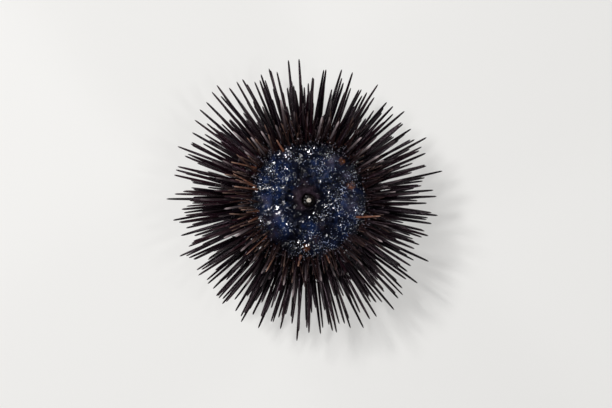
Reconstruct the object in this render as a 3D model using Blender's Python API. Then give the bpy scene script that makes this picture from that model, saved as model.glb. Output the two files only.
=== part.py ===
"""A black sea urchin at life size, lying mouth up on the tips of its lower spines.

The test is a flattened globe of ten segments, five narrow ambulacra and five wide interambulacra,
each with its own spines. A wet membrane round the mouth, a lip and the five teeth close it above, and
a small apical disc below.
Metres, +Z up. The origin is on the floor, under the middle of the animal.
"""

import math
import random
from typing import NamedTuple

import bmesh
import bpy
from mathutils import Matrix, Vector

# The whole animal
SPAN = 0.080
TOUCHING_GAP = 0.0003
WELD_DISTANCE = TOUCHING_GAP / 100
RANDOM_SEED = 29

# The test, a globe that is flatter above its widest line than below it
TEST_RADIUS = 0.0215
ORAL_HEIGHT = 0.0085
ABORAL_HEIGHT = 0.0145
STANDOFF = 0.0095
AMBITUS_Z = STANDOFF + ABORAL_HEIGHT
PERISTOME_RADIUS = 0.0150
APICAL_RADIUS = 0.0036
OUTLINE_STEP = math.radians(12)

# Its segments, by half their width round the axis
SYMMETRY = 5
FIRST_AMBULACRUM = math.radians(90)
AMBULACRUM_HALF = math.radians(11)
INTERAMBULACRUM_HALF = math.radians(180 / SYMMETRY) - AMBULACRUM_HALF
SEGMENT_STEP = math.radians(12.5)

# Spines: rows down the test, columns round it
ROW_PITCH = 0.0031
COLUMN_PITCH = 0.0031
FIRST_ROW_RADIUS = 0.0164
LAST_ROW_RADIUS = 0.0050
ROW_SEARCH_STEP = math.radians(0.25)
SUTURE_MARGIN = 0.00085
ROOT_SHIFT = 0.00035
STAGGER = 0.22

# A spine's size and lean
SPINE_LENGTH = 0.0187
SPINE_RADIUS = 0.00058
RADIUS_VARIES = (0.92, 1.05)
SHORT_SPINE_RADIUS_SHARE = 0.72
SPINE_SIDES = 5
SPINE_ROOT_DEPTH = 0.0016
WAIST_SHARE = 0.55
WAIST_THICKNESS = 0.76
ORAL_SHORTENING = 0.49
ORAL_SHORTENING_FROM = math.radians(100)
ORAL_SHORTENING_SPREAD = math.radians(50)
ORAL_SHORTENING_POWER = 1.5
ABORAL_SHORTENING = 0.38
ABORAL_SHORTENING_FROM = math.radians(105)
ABORAL_SHORTENING_SPREAD = math.radians(62)
ABORAL_SHORTENING_POWER = 1.3
ORAL_LEAN = 0.40
ABORAL_LEAN = 0.20
LEAN_SWAY = math.radians(4)
SIDE_SWAY = math.radians(4.5)
LENGTH_VARIES = (0.85, 1.03)
REGROWING_SHARE = 0.07
REGROWING_LENGTH = (0.60, 0.78)
REACH_ROOM = 0.0004
FOOT_RADIUS = 0.0003
FOOT_STRETCH = 1.12

# The membrane round the mouth
MEMBRANE_RADIUS = 0.0151
MEMBRANE_RIM = 0.0009
MEMBRANE_RISE = 0.0013
MEMBRANE_RINGS = 9
MEMBRANE_STEPS = 50
MEMBRANE_FLAT_RIM = 0.0035
FOLD_HEIGHT = 0.0003
LUMP_COUNT = 46
LUMP_TURN = 0.3
LUMP_HEIGHT = (0.00025, 0.0006)
LUMP_WIDTH = (0.0008, 0.0014)

# Tube feet and gills on the membrane
BUCCAL_FOOT_RING = 0.0072
BUCCAL_FOOT_TURN = math.radians(9)
BUCCAL_FOOT_RADIUS = 0.00045
BUCCAL_FOOT_FLARE = 1.3
BUCCAL_FOOT_HEIGHT = 0.0016
BUCCAL_FOOT_SIDES = 6
SUCKER_RADIUS = 0.0008
SUCKER_TOP_SHARE = 0.8
SUCKER_THICKNESS = 0.0005
SUCKER_SIDES = 8
GILL_RING = 0.0138
GILL_TURN = math.radians(19)
GILL_LOBE_PITCH = 0.0012
GILL_SIZE = 0.0011
GILL_SIDE_SHARE = 0.8
GILL_WIDTH_SHARE = 0.62
GILL_SET_BACK = 0.0003

# Lip, lantern and teeth
LIP_OUTER = 0.0042
LIP_INNER = 0.0020
LIP_HEIGHT = 0.0030
LIP_SHOULDER_SHARE = 0.45
LIP_ARCH_STEPS = 6
LIP_STEPS = 30
LIP_PUCKER = 0.00012
LANTERN_RADIUS = LIP_INNER - TOUCHING_GAP
LANTERN_TOP_SHARE = 0.8
LANTERN_HEIGHT = 0.0016
LANTERN_STEPS = 15
TOOTH_BASE_RING = 0.00095
TOOTH_TIP_RING = 0.00042
TOOTH_TOP = 0.0034
TOOTH_WIDTH = 0.0009
TOOTH_TIP_SHARE = 0.45
TOOTH_SIDES = 6

# Apical disc
APICAL_THICKNESS = 0.0012
APICAL_SHOULDER_SHARE = 0.4
APICAL_RINGS = 4
APICAL_STEPS = 20
GENITAL_PLATE_RING = 0.0021
GENITAL_PLATE_RADIUS = 0.00095
ANAL_PLATES = 4
ANAL_PLATE_RING = 0.00055
ANAL_PLATE_RADIUS = 0.0005
PLATE_RISE = 0.0004
PLATE_SIDES = 6
PLATE_TOP_SHARE = 0.7


class Segment(NamedTuple):
    """One wedge of the test: its name, the azimuth of its middle and half its width."""

    name: str
    middle: float
    half: float


class Spine(NamedTuple):
    """One spine: where on the skin and which way it grows, its size, and whether it stands on the floor."""

    segment: str
    root: Vector
    direction: Vector
    length: float
    radius: float
    is_foot: bool


def clear_scene():
    for thing in list(bpy.data.objects):
        bpy.data.objects.remove(thing, do_unlink=True)


def finish(name, colour, roughness, metallic=0.0):
    """A material with one colour and gloss."""
    material = bpy.data.materials.new(name)
    material.use_nodes = True
    shader = material.node_tree.nodes["Principled BSDF"]
    shader.inputs["Base Color"].default_value = (*colour, 1.0)
    shader.inputs["Roughness"].default_value = roughness
    shader.inputs["Metallic"].default_value = metallic
    return material


def object_of(bm, name, collection=None):
    """The bmesh as a named object, its faces turned outwards."""
    bmesh.ops.recalc_face_normals(bm, faces=bm.faces[:])
    mesh = bpy.data.meshes.new(name)
    bm.to_mesh(mesh)
    bm.free()
    made = bpy.data.objects.new(name, mesh)
    (collection or bpy.context.scene.collection).objects.link(made)
    return made


def enclosed_volume(faces):
    """The volume inside a closed set of faces that point outwards."""
    return sum(face.calc_center_median().dot(face.normal) * face.calc_area() for face in faces) / 3


def keep_largest_shell(mesh):
    """Drops every closed surface but the one that holds the most."""
    bm = bmesh.new()
    bm.from_mesh(mesh)
    waiting = set(bm.faces)
    shells = []
    while waiting:
        reached = [waiting.pop()]
        for face in reached:
            for edge in face.edges:
                for other in edge.link_faces:
                    if other in waiting:
                        waiting.remove(other)
                        reached.append(other)
        shells.append(reached)
    largest = max(shells, key=enclosed_volume)
    for faces in shells:
        if faces is not largest:
            bmesh.ops.delete(bm, geom=faces, context="FACES")
    bm.to_mesh(mesh)
    bm.free()


def fuse(body, growths):
    """Joins every object of the collection to the body, as one closed surface."""
    join = body.modifiers.new("growths", "BOOLEAN")
    join.operation = "UNION"
    join.operand_type = "COLLECTION"
    join.collection = growths
    join.solver = "EXACT"
    evaluated = body.evaluated_get(bpy.context.evaluated_depsgraph_get())
    fused = bpy.data.meshes.new_from_object(evaluated)
    body.modifiers.clear()
    body.data = fused
    for thing in list(growths.objects):
        bpy.data.objects.remove(thing, do_unlink=True)
    bpy.data.collections.remove(growths)
    keep_largest_shell(fused)


def new_growths(name):
    """A collection for what is going to be fused to a body."""
    growths = bpy.data.collections.new(name)
    bpy.context.scene.collection.children.link(growths)
    return growths


def ring_place(radius, azimuth, height):
    """The point at that distance from the axis, at that azimuth and height."""
    return Vector((radius * math.cos(azimuth), radius * math.sin(azimuth), height))


def outline(angle):
    """Radius and height of the test's surface, by the angle down from its upper pole."""
    height = ORAL_HEIGHT if math.cos(angle) > 0 else ABORAL_HEIGHT
    return TEST_RADIUS * math.sin(angle), AMBITUS_Z + height * math.cos(angle)


def outline_normal(angle):
    """How far the surface's outward normal there is turned down from +Z."""
    height = ORAL_HEIGHT if math.cos(angle) > 0 else ABORAL_HEIGHT
    return math.atan2(math.sin(angle) / TEST_RADIUS, math.cos(angle) / height)


def outline_angle(radius, below=False):
    """The angle down from the upper pole at which the test has that radius."""
    angle = math.asin(radius / TEST_RADIUS)
    return math.pi - angle if below else angle


def segments():
    """The ten wedges of the test, each ambulacrum followed by the interambulacrum on its left."""
    found = []
    for number in range(SYMMETRY):
        middle = FIRST_AMBULACRUM + number * 2 * math.pi / SYMMETRY
        found.append(Segment(f"ambulacrum_{number + 1}", middle, AMBULACRUM_HALF))
        beside = middle + math.pi / SYMMETRY
        found.append(Segment(f"interambulacrum_{number + 1}", beside, INTERAMBULACRUM_HALF))
    return found


def row_angles():
    """Where the rows of spines lie on the outline, one row pitch apart along the surface."""
    angle = outline_angle(FIRST_ROW_RADIUS)
    last = outline_angle(LAST_ROW_RADIUS, below=True)
    found = [angle]
    walked = 0.0
    while angle < last:
        here = Vector(outline(angle))
        angle += ROW_SEARCH_STEP
        walked += (Vector(outline(angle)) - here).length
        if walked >= ROW_PITCH:
            found.append(angle)
            walked = 0.0
    return found


def spine_length(angle):
    """A full-grown spine's length: longest round the widest part, shorter towards mouth and apex."""
    oral = max(0.0, ORAL_SHORTENING_FROM - angle) / ORAL_SHORTENING_SPREAD
    aboral = max(0.0, angle - ABORAL_SHORTENING_FROM) / ABORAL_SHORTENING_SPREAD
    lost_to_mouth = ORAL_SHORTENING * oral**ORAL_SHORTENING_POWER
    lost_to_apex = ABORAL_SHORTENING * aboral**ABORAL_SHORTENING_POWER
    return SPINE_LENGTH * (1 - lost_to_mouth - lost_to_apex)


def spine_at(draw, segment, angle, azimuth):
    """One spine with its own small differences in place, lean and length."""
    angle += draw.uniform(-ROOT_SHIFT, ROOT_SHIFT) / TEST_RADIUS
    radius, height = outline(angle)
    azimuth += draw.uniform(-ROOT_SHIFT, ROOT_SHIFT) / radius
    room = segment.half - SUTURE_MARGIN / radius
    azimuth = segment.middle + max(-room, min(room, azimuth - segment.middle))
    root = ring_place(radius, azimuth, height)

    normal = outline_normal(angle)
    lean = ORAL_LEAN if angle < math.pi / 2 else ABORAL_LEAN
    polar = normal + lean * (math.pi / 2 - normal) + draw.uniform(-LEAN_SWAY, LEAN_SWAY)
    turned = azimuth + draw.uniform(-SIDE_SWAY, SIDE_SWAY)
    direction = ring_place(math.sin(polar), turned, math.cos(polar))

    full = spine_length(angle)
    length = full * draw.uniform(*LENGTH_VARIES)
    if draw.random() < REGROWING_SHARE:
        length = full * draw.uniform(*REGROWING_LENGTH)
    reach = SPAN / 2 - REACH_ROOM
    tip = root + direction * length
    beyond = math.hypot(tip.x, tip.y) - reach
    if beyond > 0:
        length -= beyond / math.sin(polar)

    to_floor = root.z / -direction.z if direction.z < 0 else math.inf
    is_foot = to_floor < full * FOOT_STRETCH
    if is_foot:
        length = to_floor
    slenderness = SHORT_SPINE_RADIUS_SHARE + (1 - SHORT_SPINE_RADIUS_SHARE) * full / SPINE_LENGTH
    radius = SPINE_RADIUS * slenderness * draw.uniform(*RADIUS_VARIES)
    return Spine(segment.name, root, direction, length, radius, is_foot)


def all_spines():
    """Every spine, row by row. The four that reach furthest along X and Y end half a span out."""
    draw = random.Random(RANDOM_SEED)
    spines = []
    for row, angle in enumerate(row_angles()):
        radius, _ = outline(angle)
        for segment in segments():
            columns = max(1, round((2 * segment.half * radius) / COLUMN_PITCH))
            pitch = 2 * segment.half / columns
            shift = STAGGER * pitch * (1 if row % 2 else -1)
            for column in range(columns):
                azimuth = segment.middle - segment.half + (column + 0.5) * pitch + shift
                spines.append(spine_at(draw, segment, angle, azimuth))
    for axis in (Vector((1, 0, 0)), Vector((-1, 0, 0)), Vector((0, 1, 0)), Vector((0, -1, 0))):
        furthest = max(spines, key=lambda s: (s.root + s.direction * s.length).dot(axis))
        length = (SPAN / 2 - furthest.root.dot(axis)) / furthest.direction.dot(axis)
        spines[spines.index(furthest)] = furthest._replace(length=length)
    return spines


def extruded(bm, face, height, radius_share):
    """Extrudes the face up to that height, scales it about the axis and returns the new end face."""
    grown = bmesh.ops.extrude_face_region(bm, geom=[face])["geom"]
    end = next(item for item in grown if isinstance(item, bmesh.types.BMFace))
    if len(face.edges[0].link_faces) > 2:
        bmesh.ops.delete(bm, geom=[face], context="FACES_ONLY")
    for vert in end.verts:
        vert.co = Vector((vert.co.x * radius_share, vert.co.y * radius_share, height))
    return end


def spine_object(spine, collection):
    """A tapered prism from below the skin to a point, or to a small flat on the floor."""
    bm = bmesh.new()
    sunk = Matrix.Translation((0, 0, -SPINE_ROOT_DEPTH))
    bmesh.ops.create_circle(bm, segments=SPINE_SIDES, radius=spine.radius, cap_ends=True, matrix=sunk)
    waist = extruded(bm, bm.faces[:][0], spine.length * WAIST_SHARE, WAIST_THICKNESS)
    end_share = FOOT_RADIUS / (spine.radius * WAIST_THICKNESS)
    end = extruded(bm, waist, spine.length, end_share)
    end_verts = list(end.verts)
    if not spine.is_foot:
        bmesh.ops.pointmerge(bm, verts=end_verts, merge_co=(0, 0, spine.length))
    turn = Vector((0, 0, 1)).rotation_difference(spine.direction).to_matrix().to_4x4()
    bmesh.ops.transform(bm, matrix=Matrix.Translation(spine.root) @ turn, verts=bm.verts[:])
    if spine.is_foot:
        for vert in end_verts:
            vert.co -= spine.direction * (vert.co.z / spine.direction.z)
            vert.co.z = 0.0
    object_of(bm, "spine", collection)


def spun_wedge(profile, middle, half, steps):
    """The closed (radius, height) profile spun round Z, as far as half to each side of the middle azimuth."""
    bm = bmesh.new()
    start = Matrix.Rotation(middle - half, 3, "Z")
    verts = [bm.verts.new(start @ Vector((radius, 0, height))) for radius, height in profile]
    face = bm.faces.new(verts)
    geometry = [face, *face.edges, *face.verts]
    bmesh.ops.spin(bm, geom=geometry, axis=(0, 0, 1), cent=(0, 0, 0), angle=2 * half, steps=steps)
    bmesh.ops.remove_doubles(bm, verts=bm.verts[:], dist=WELD_DISTANCE)
    return bm


def spun_ring(profile, steps):
    """The (radius, height) profile spun all the way round. It is closed, or has both its ends on the axis."""
    bm = bmesh.new()
    verts = [bm.verts.new((radius, 0, height)) for radius, height in profile]
    touches_axis = profile[0][0] == 0
    pairs = list(zip(verts, verts[1:])) + ([] if touches_axis else [(verts[-1], verts[0])])
    chain = [bm.edges.new(pair) for pair in pairs]
    bmesh.ops.spin(
        bm,
        geom=verts + chain,
        axis=(0, 0, 1),
        cent=(0, 0, 0),
        angle=2 * math.pi,
        steps=steps,
        use_merge=True,
    )
    bmesh.ops.remove_doubles(bm, verts=bm.verts[:], dist=WELD_DISTANCE)
    return bm


def segment_object(segment, spines):
    """One wedge of the test with its spines, drawn back from both neighbours by half a gap."""
    back = TOUCHING_GAP / 2 / math.sin(segment.half)
    first = outline_angle(PERISTOME_RADIUS)
    last = outline_angle(APICAL_RADIUS, below=True)
    steps = math.ceil((last - first) / OUTLINE_STEP)
    curve = [outline(first + (last - first) * step / steps) for step in range(steps + 1)]
    outer = [(radius - back, height) for radius, height in curve]
    profile = [(0.0, curve[0][1]), *outer, (0.0, curve[-1][1])]
    bm = spun_wedge(profile, segment.middle, segment.half, round(2 * segment.half / SEGMENT_STEP))
    outwards = Vector((math.cos(segment.middle), math.sin(segment.middle), 0)) * back
    bmesh.ops.translate(bm, verts=bm.verts[:], vec=outwards)
    body = object_of(bm, segment.name)
    growths = new_growths("spines")
    for spine in spines:
        if spine.segment == segment.name:
            spine_object(spine, growths)
    fuse(body, growths)
    return body


def cone_object(name, collection, matrix, sides, lower_radius, upper_radius, height):
    """A capped cone or prism centred on the matrix, as an object in the collection."""
    bm = bmesh.new()
    bmesh.ops.create_cone(
        bm,
        cap_ends=True,
        segments=sides,
        radius1=lower_radius,
        radius2=upper_radius,
        depth=height,
        matrix=matrix,
    )
    return object_of(bm, name, collection)


def membrane_lumps():
    """Centre, width and height of each soft lump of the membrane, scattered evenly between lip and rim."""
    draw = random.Random(RANDOM_SEED)
    found = []
    golden_turn = math.pi * (3 - math.sqrt(5))
    for number in range(LUMP_COUNT):
        share = (number + 0.5) / LUMP_COUNT
        radius = math.sqrt(LIP_OUTER**2 + share * (MEMBRANE_RADIUS**2 - LIP_OUTER**2))
        turn = number * golden_turn + draw.uniform(-LUMP_TURN, LUMP_TURN)
        place = Vector((radius * math.cos(turn), radius * math.sin(turn)))
        found.append((place, draw.uniform(*LUMP_WIDTH), draw.uniform(*LUMP_HEIGHT)))
    return found


def membrane_height(radius):
    """The membrane's smooth height above its seat: a low cone from the rim up to the lip."""
    share = max(0.0, 1 - radius / MEMBRANE_RADIUS)
    return MEMBRANE_RIM + MEMBRANE_RISE * math.sin(share * math.pi / 2)


def raise_lumps(bm, seat):
    """Lifts the membrane's upper points into radial folds and lumps, which fade out at the rim."""
    lumps = membrane_lumps()
    for vert in bm.verts:
        if vert.co.z < seat + MEMBRANE_RIM / 2:
            continue
        place = vert.co.xy
        fade = min(1.0, (MEMBRANE_RADIUS - place.length) / MEMBRANE_FLAT_RIM)
        fold = math.cos(2 * SYMMETRY * math.atan2(place.y, place.x) + math.pi * SYMMETRY)
        raised = FOLD_HEIGHT * fold * place.length / MEMBRANE_RADIUS
        for centre, width, height in lumps:
            raised += height * math.exp(-((place - centre).length_squared) / (width * width))
        vert.co.z += raised * fade


def buccal_foot(azimuth, seat, growths):
    """One short tube foot beside the mouth: a stalk with a sucker on its end."""
    base = seat + membrane_height(BUCCAL_FOOT_RING)
    top = ring_place(BUCCAL_FOOT_RING, azimuth, base + BUCCAL_FOOT_HEIGHT)
    sunk = Vector((0, 0, BUCCAL_FOOT_HEIGHT * 3 / 4))
    cone_object(
        "stalk",
        growths,
        Matrix.Translation(top - sunk),
        BUCCAL_FOOT_SIDES,
        BUCCAL_FOOT_RADIUS * BUCCAL_FOOT_FLARE,
        BUCCAL_FOOT_RADIUS,
        BUCCAL_FOOT_HEIGHT * 3 / 2,
    )
    cone_object(
        "sucker",
        growths,
        Matrix.Translation(top),
        SUCKER_SIDES,
        SUCKER_RADIUS,
        SUCKER_RADIUS * SUCKER_TOP_SHARE,
        SUCKER_THICKNESS,
    )


def gill(azimuth, seat, growths):
    """One gill at the membrane's rim: a tuft of three upright lobes."""
    narrow = Matrix.Diagonal((GILL_WIDTH_SHARE, GILL_WIDTH_SHARE, 1, 1))
    for lobe in (-1, 0, 1):
        turned = azimuth + lobe * GILL_LOBE_PITCH / GILL_RING
        place = ring_place(GILL_RING - abs(lobe) * GILL_SET_BACK, turned, seat + MEMBRANE_RIM)
        bm = bmesh.new()
        bmesh.ops.create_icosphere(
            bm,
            subdivisions=1,
            radius=GILL_SIZE * (GILL_SIDE_SHARE if lobe else 1),
            matrix=Matrix.Translation(place) @ narrow,
        )
        object_of(bm, "gill", growths)


def peristome_object(seat):
    """The lumpy membrane, with two buccal tube feet and two gills grown from it for each ambulacrum."""
    inner = LIP_OUTER + TOUCHING_GAP
    width = MEMBRANE_RADIUS - inner
    rings = [inner + width * ring / MEMBRANE_RINGS for ring in range(MEMBRANE_RINGS + 1)]
    top = [(radius, seat + membrane_height(radius)) for radius in rings]
    bm = spun_ring([(inner, seat), *top, (MEMBRANE_RADIUS, seat)], MEMBRANE_STEPS)
    raise_lumps(bm, seat)
    membrane = object_of(bm, "peristome_membrane")

    growths = new_growths("feet and gills")
    for number in range(SYMMETRY):
        ambulacrum = FIRST_AMBULACRUM + number * 2 * math.pi / SYMMETRY
        for side in (-1, 1):
            buccal_foot(ambulacrum + side * BUCCAL_FOOT_TURN, seat, growths)
            gill(ambulacrum + side * GILL_TURN, seat, growths)
    fuse(membrane, growths)
    return membrane


def lip_object(seat):
    """The thick puckered ring round the mouth."""
    half_width = (LIP_OUTER - LIP_INNER) / 2
    shoulder = LIP_HEIGHT * LIP_SHOULDER_SHARE
    arch = [math.pi * step / LIP_ARCH_STEPS for step in range(LIP_ARCH_STEPS + 1)]
    profile = [
        (
            LIP_INNER + half_width * (1 - math.cos(turn)),
            seat + shoulder + (LIP_HEIGHT - shoulder) * math.sin(turn),
        )
        for turn in arch
    ]
    bm = spun_ring([(LIP_INNER, seat), *profile, (LIP_OUTER, seat)], LIP_STEPS)
    for vert in bm.verts:
        if vert.co.z > seat + LIP_HEIGHT / 2:
            step = round(math.atan2(vert.co.y, vert.co.x) / (2 * math.pi) * LIP_STEPS)
            vert.co.z += LIP_PUCKER * (1 if step % 2 else -1)
    return object_of(bm, "mouth_lip")


def tooth(azimuth, seat, growths):
    """One tooth, from inside the lantern up to its chisel tip."""
    foot = ring_place(TOOTH_BASE_RING, azimuth, seat + LANTERN_HEIGHT / 2)
    tip = ring_place(TOOTH_TIP_RING, azimuth, seat + TOOTH_TOP)
    lean = Vector((0, 0, 1)).rotation_difference(tip - foot).to_matrix().to_4x4()
    place = Matrix.Translation((foot + tip) / 2) @ lean @ Matrix.Rotation(azimuth, 4, "Z")
    half_width = TOOTH_WIDTH / 2
    length = (tip - foot).length
    cone_object("tooth", growths, place, TOOTH_SIDES, half_width, half_width * TOOTH_TIP_SHARE, length)


def lantern_object(seat):
    """The tip of the jaws inside the lip, with the five teeth leaning together over it."""
    top = seat + LANTERN_HEIGHT
    profile = [(0.0, seat), (LANTERN_RADIUS, seat), (LANTERN_RADIUS * LANTERN_TOP_SHARE, top), (0.0, top)]
    lantern = object_of(spun_ring(profile, LANTERN_STEPS), "lantern_and_teeth")
    growths = new_growths("teeth")
    for number in range(SYMMETRY):
        tooth(FIRST_AMBULACRUM + (number + 0.5) * 2 * math.pi / SYMMETRY, seat, growths)
    fuse(lantern, growths)
    return lantern


def apical_depth(radius):
    """How far under its flat top the disc's dome lies, at that distance from the axis."""
    share = radius / (APICAL_RADIUS - TOUCHING_GAP)
    shoulder = APICAL_THICKNESS * APICAL_SHOULDER_SHARE
    return shoulder + (APICAL_THICKNESS - shoulder) * math.sqrt(1 - share * share)


def apical_object(seat):
    """The small disc under the test: five genital plates round four anal plates, on a shallow dome."""
    rim = APICAL_RADIUS - TOUCHING_GAP
    across = [rim * math.cos(math.pi / 2 * step / APICAL_RINGS) for step in range(APICAL_RINGS)]
    dome = [(radius, seat - apical_depth(radius)) for radius in across]
    bm = spun_ring([(0.0, seat), (rim, seat), *dome, (0.0, seat - APICAL_THICKNESS)], APICAL_STEPS)
    disc = object_of(bm, "apical_disc")
    growths = new_growths("plates")
    upside_down = Matrix.Rotation(math.pi, 4, "X")
    for count, ring, radius in (
        (SYMMETRY, GENITAL_PLATE_RING, GENITAL_PLATE_RADIUS),
        (ANAL_PLATES, ANAL_PLATE_RING, ANAL_PLATE_RADIUS),
    ):
        for number in range(count):
            azimuth = FIRST_AMBULACRUM + (number + 0.5) * 2 * math.pi / count
            centre = Matrix.Translation(ring_place(ring, azimuth, seat - apical_depth(ring)))
            place = centre @ upside_down @ Matrix.Rotation(-azimuth, 4, "Z")
            narrow = radius * PLATE_TOP_SHARE
            cone_object("plate", growths, place, PLATE_SIDES, radius, narrow, 2 * PLATE_RISE)
    fuse(disc, growths)
    return disc


def main():
    clear_scene()
    horny_black = finish("spine_black", (0.012, 0.008, 0.010), 0.28)
    wet_blue = finish("membrane_blue", (0.015, 0.025, 0.06), 0.15)
    lip_brown = finish("lip_brown", (0.045, 0.030, 0.032), 0.25)
    ivory = finish("tooth_ivory", (0.62, 0.60, 0.46), 0.35)
    plate_brown = finish("plate_brown", (0.035, 0.022, 0.026), 0.40)

    spines = all_spines()
    for segment in segments():
        segment_object(segment, spines).data.materials.append(horny_black)
    upper_seat = outline(outline_angle(PERISTOME_RADIUS))[1] + TOUCHING_GAP
    lower_seat = outline(outline_angle(APICAL_RADIUS, below=True))[1] - TOUCHING_GAP
    peristome_object(upper_seat).data.materials.append(wet_blue)
    lip_object(upper_seat).data.materials.append(lip_brown)
    lantern_object(upper_seat).data.materials.append(ivory)
    apical_object(lower_seat).data.materials.append(plate_brown)


main()
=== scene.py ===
"""A black sea urchin at life size, mouth up on a pale floor.

Its skin, spines, wet mouth membrane, lip, teeth, gills and feet take the place of the solids.
Metres, +Z up. The top of the photo is towards +Y.
"""

import math
import random
from typing import NamedTuple

import bmesh
import bpy
import numpy as np
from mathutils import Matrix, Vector, noise


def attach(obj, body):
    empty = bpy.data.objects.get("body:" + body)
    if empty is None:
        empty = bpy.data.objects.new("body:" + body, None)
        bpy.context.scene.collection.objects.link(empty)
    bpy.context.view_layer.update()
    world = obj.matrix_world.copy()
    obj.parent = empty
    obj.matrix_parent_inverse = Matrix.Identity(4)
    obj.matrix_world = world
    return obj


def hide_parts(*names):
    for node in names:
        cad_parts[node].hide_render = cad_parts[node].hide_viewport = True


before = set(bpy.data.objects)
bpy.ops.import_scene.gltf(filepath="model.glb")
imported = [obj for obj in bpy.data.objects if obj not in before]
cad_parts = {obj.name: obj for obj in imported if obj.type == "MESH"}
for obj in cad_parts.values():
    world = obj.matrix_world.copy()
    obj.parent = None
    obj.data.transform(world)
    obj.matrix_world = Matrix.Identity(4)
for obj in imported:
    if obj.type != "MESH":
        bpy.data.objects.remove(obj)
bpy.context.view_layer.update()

MM = 0.001
HAIRBREADTH = 1e-6
DOUBLES_WITHIN = 1e-7

# The animal and its test, as in the solids
SPAN = 0.080
TOUCHING_GAP = 0.0003
RANDOM_SEED = 29
TEST_RADIUS = 0.0215
ORAL_HEIGHT = 0.0085
ABORAL_HEIGHT = 0.0145
AMBITUS_Z = 0.0240
PERISTOME_RADIUS = 0.0150
APICAL_RADIUS = 0.0036
SYMMETRY = 5
FIRST_AMBULACRUM = math.radians(90)
AMBULACRUM_HALF = math.radians(11)
INTERAMBULACRUM_HALF = math.radians(180 / SYMMETRY) - AMBULACRUM_HALF
MEAN_RADIUS = TEST_RADIUS * 0.85

# The long spines, as in the solids
ROW_PITCH = 0.0031
COLUMN_PITCH = 0.0031
FIRST_ROW_RADIUS = 0.0164
LAST_ROW_RADIUS = 0.0050
ROW_SEARCH_STEP = math.radians(0.25)
SUTURE_MARGIN = 0.00085
ROOT_SHIFT = 0.00035
STAGGER = 0.22
SPINE_LENGTH = 0.0187
SPINE_RADIUS = 0.00058
RADIUS_VARIES = (0.92, 1.05)
SHORT_SPINE_RADIUS_SHARE = 0.72
ORAL_SHORTENING = 0.49
ORAL_SHORTENING_FROM = math.radians(100)
ORAL_SHORTENING_SPREAD = math.radians(50)
ORAL_SHORTENING_POWER = 1.5
ABORAL_SHORTENING = 0.38
ABORAL_SHORTENING_FROM = math.radians(105)
ABORAL_SHORTENING_SPREAD = math.radians(62)
ABORAL_SHORTENING_POWER = 1.3
ORAL_LEAN = 0.40
ABORAL_LEAN = 0.20
LEAN_SWAY = math.radians(4)
SIDE_SWAY = math.radians(4.5)
LENGTH_VARIES = (0.85, 1.03)
REGROWING_SHARE = 0.07
REGROWING_LENGTH = (0.60, 0.78)
REACH_ROOM = 0.0004
FOOT_RADIUS = 0.0003
FOOT_STRETCH = 1.12

# A spine's outline as shares of its height and radius: a flared base of fixed height, then the shaft
SPINE_SIDES = 7
BASE_HEIGHT = 0.0011
BASE_SUNK = 0.0003
BASE_OUTLINE = ((-1.0, 1.75), (-0.55, 1.10), (-0.30, 1.36), (-0.05, 1.12))
SHAFT_OUTLINE = ((0.05, 1.0), (0.34, 0.95), (0.64, 0.84), (0.86, 0.68), (0.965, 0.52), (1.0, 0.20))
THINNING = 0.83

# Sides on which the photo's spines reach farther: azimuth, spread and how much, in degrees and metres
FARTHER = ((121, 24, 0.0046), (300, 34, 0.0014))
FARTHER_ROOM = 0.0008
FARTHER_FROM_SHARE = 0.7
FARTHER_OVER_SHARE = 0.3

# Shorter spines between the long ones
FILLER_SEED = 7
FILLER_PITCH = 0.0025
FILLER_LENGTH = (0.60, 1.0)
FILLER_RADIUS_SHARE = 0.92
FILLER_ORAL_LEAN = 0.72
FILLER_LONGEST = 0.92

# Small spines at the edge of the mouth membrane
EDGE_SPINE_COUNT = 185
EDGE_SPINE_RING = (0.0147, 0.0173)
EDGE_SPINE_WAVER = 0.0040
EDGE_SPINE_BAYS = 2.6
EDGE_SPINE_LENGTH = (0.0040, 0.0095)
EDGE_SPINE_RADIUS = (0.00022, 0.00036)
EDGE_SPINE_LEAN = (math.radians(40), math.radians(80))
EDGE_SPINE_TURN = 0.36
EDGE_SPINE_JITTER = 0.45
EDGE_SPINE_RISE = 0.3
TAN_SPINE_POLAR = math.radians(76)
TAN_SPINE_RADIUS = 0.00037

# How brown the spines are, with painted light added on the lit left, and how pale their tips, which is
# painted sheen and glints. A pair is a share everywhere and what the place adds
NEAR_MOUTH = 0.0200
NEAR_MOUTH_FADE = 0.0036
BLACK_TINT_NEAR_MOUTH = (0.55, 0.45)
# Brown added on the lit left side: painted light
BLACK_TINT_AND_PAINTED_LIGHT_LEFT = (0.6, 0.8)
# Pale tips: painted sheen along the outer half and painted glints at the end, most near the mouth and on the
# lit left
BLACK_PAINTED_GLINT_NEAR_MOUTH = (0.08, 0.75)
BLACK_PAINTED_GLINT_LEFT = (0.3, 1.1)
PAINTED_GLINT_TIP_SHARE = 0.30
BRIGHTEST_PAINTED_GLINT = 0.9
TAN_SHARE = 0.004
TAN_SHARE_LEFT = 0.08
TAN_TINT = (0.35, 1.0)
TAN_TIP = 0.5
# Edge spines: the brown added on the lit left is painted light, and their pale tips are painted sheen and
# glints
EDGE_TINT_AND_PAINTED_LIGHT_LEFT = (0.05, 0.09)
EDGE_PAINTED_GLINT_LEFT = (0.12, 0.5)

# The photo's tan spines: the root's azimuth and distance, turn and length, in degrees and millimetres
TAN_SPINES = (
    (-19, 14.6, 22, 6.6), (165, 15.6, -3, 6.0), (168, 15.0, 5, 6.6), (192, 14.6, -8, 3.4),
    (199, 15.4, 4, 2.8), (117, 15.8, 6, 3.6), (262, 15.9, -8, 3.0), (287, 15.6, 10, 3.2),
)

# Relief of the skin
SKIN_STEPS = 320
SKIN_RINGS = 180
SKIN_LUMP = 0.00016
SKIN_LUMP_SIZE = 0.0011
SUTURE_DEPTH = 0.00022
SUTURE_WIDTH = 0.00035
PLATE_SEAM_DEPTH = 0.00012
PLATE_SEAM_FROM = 0.6

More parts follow.
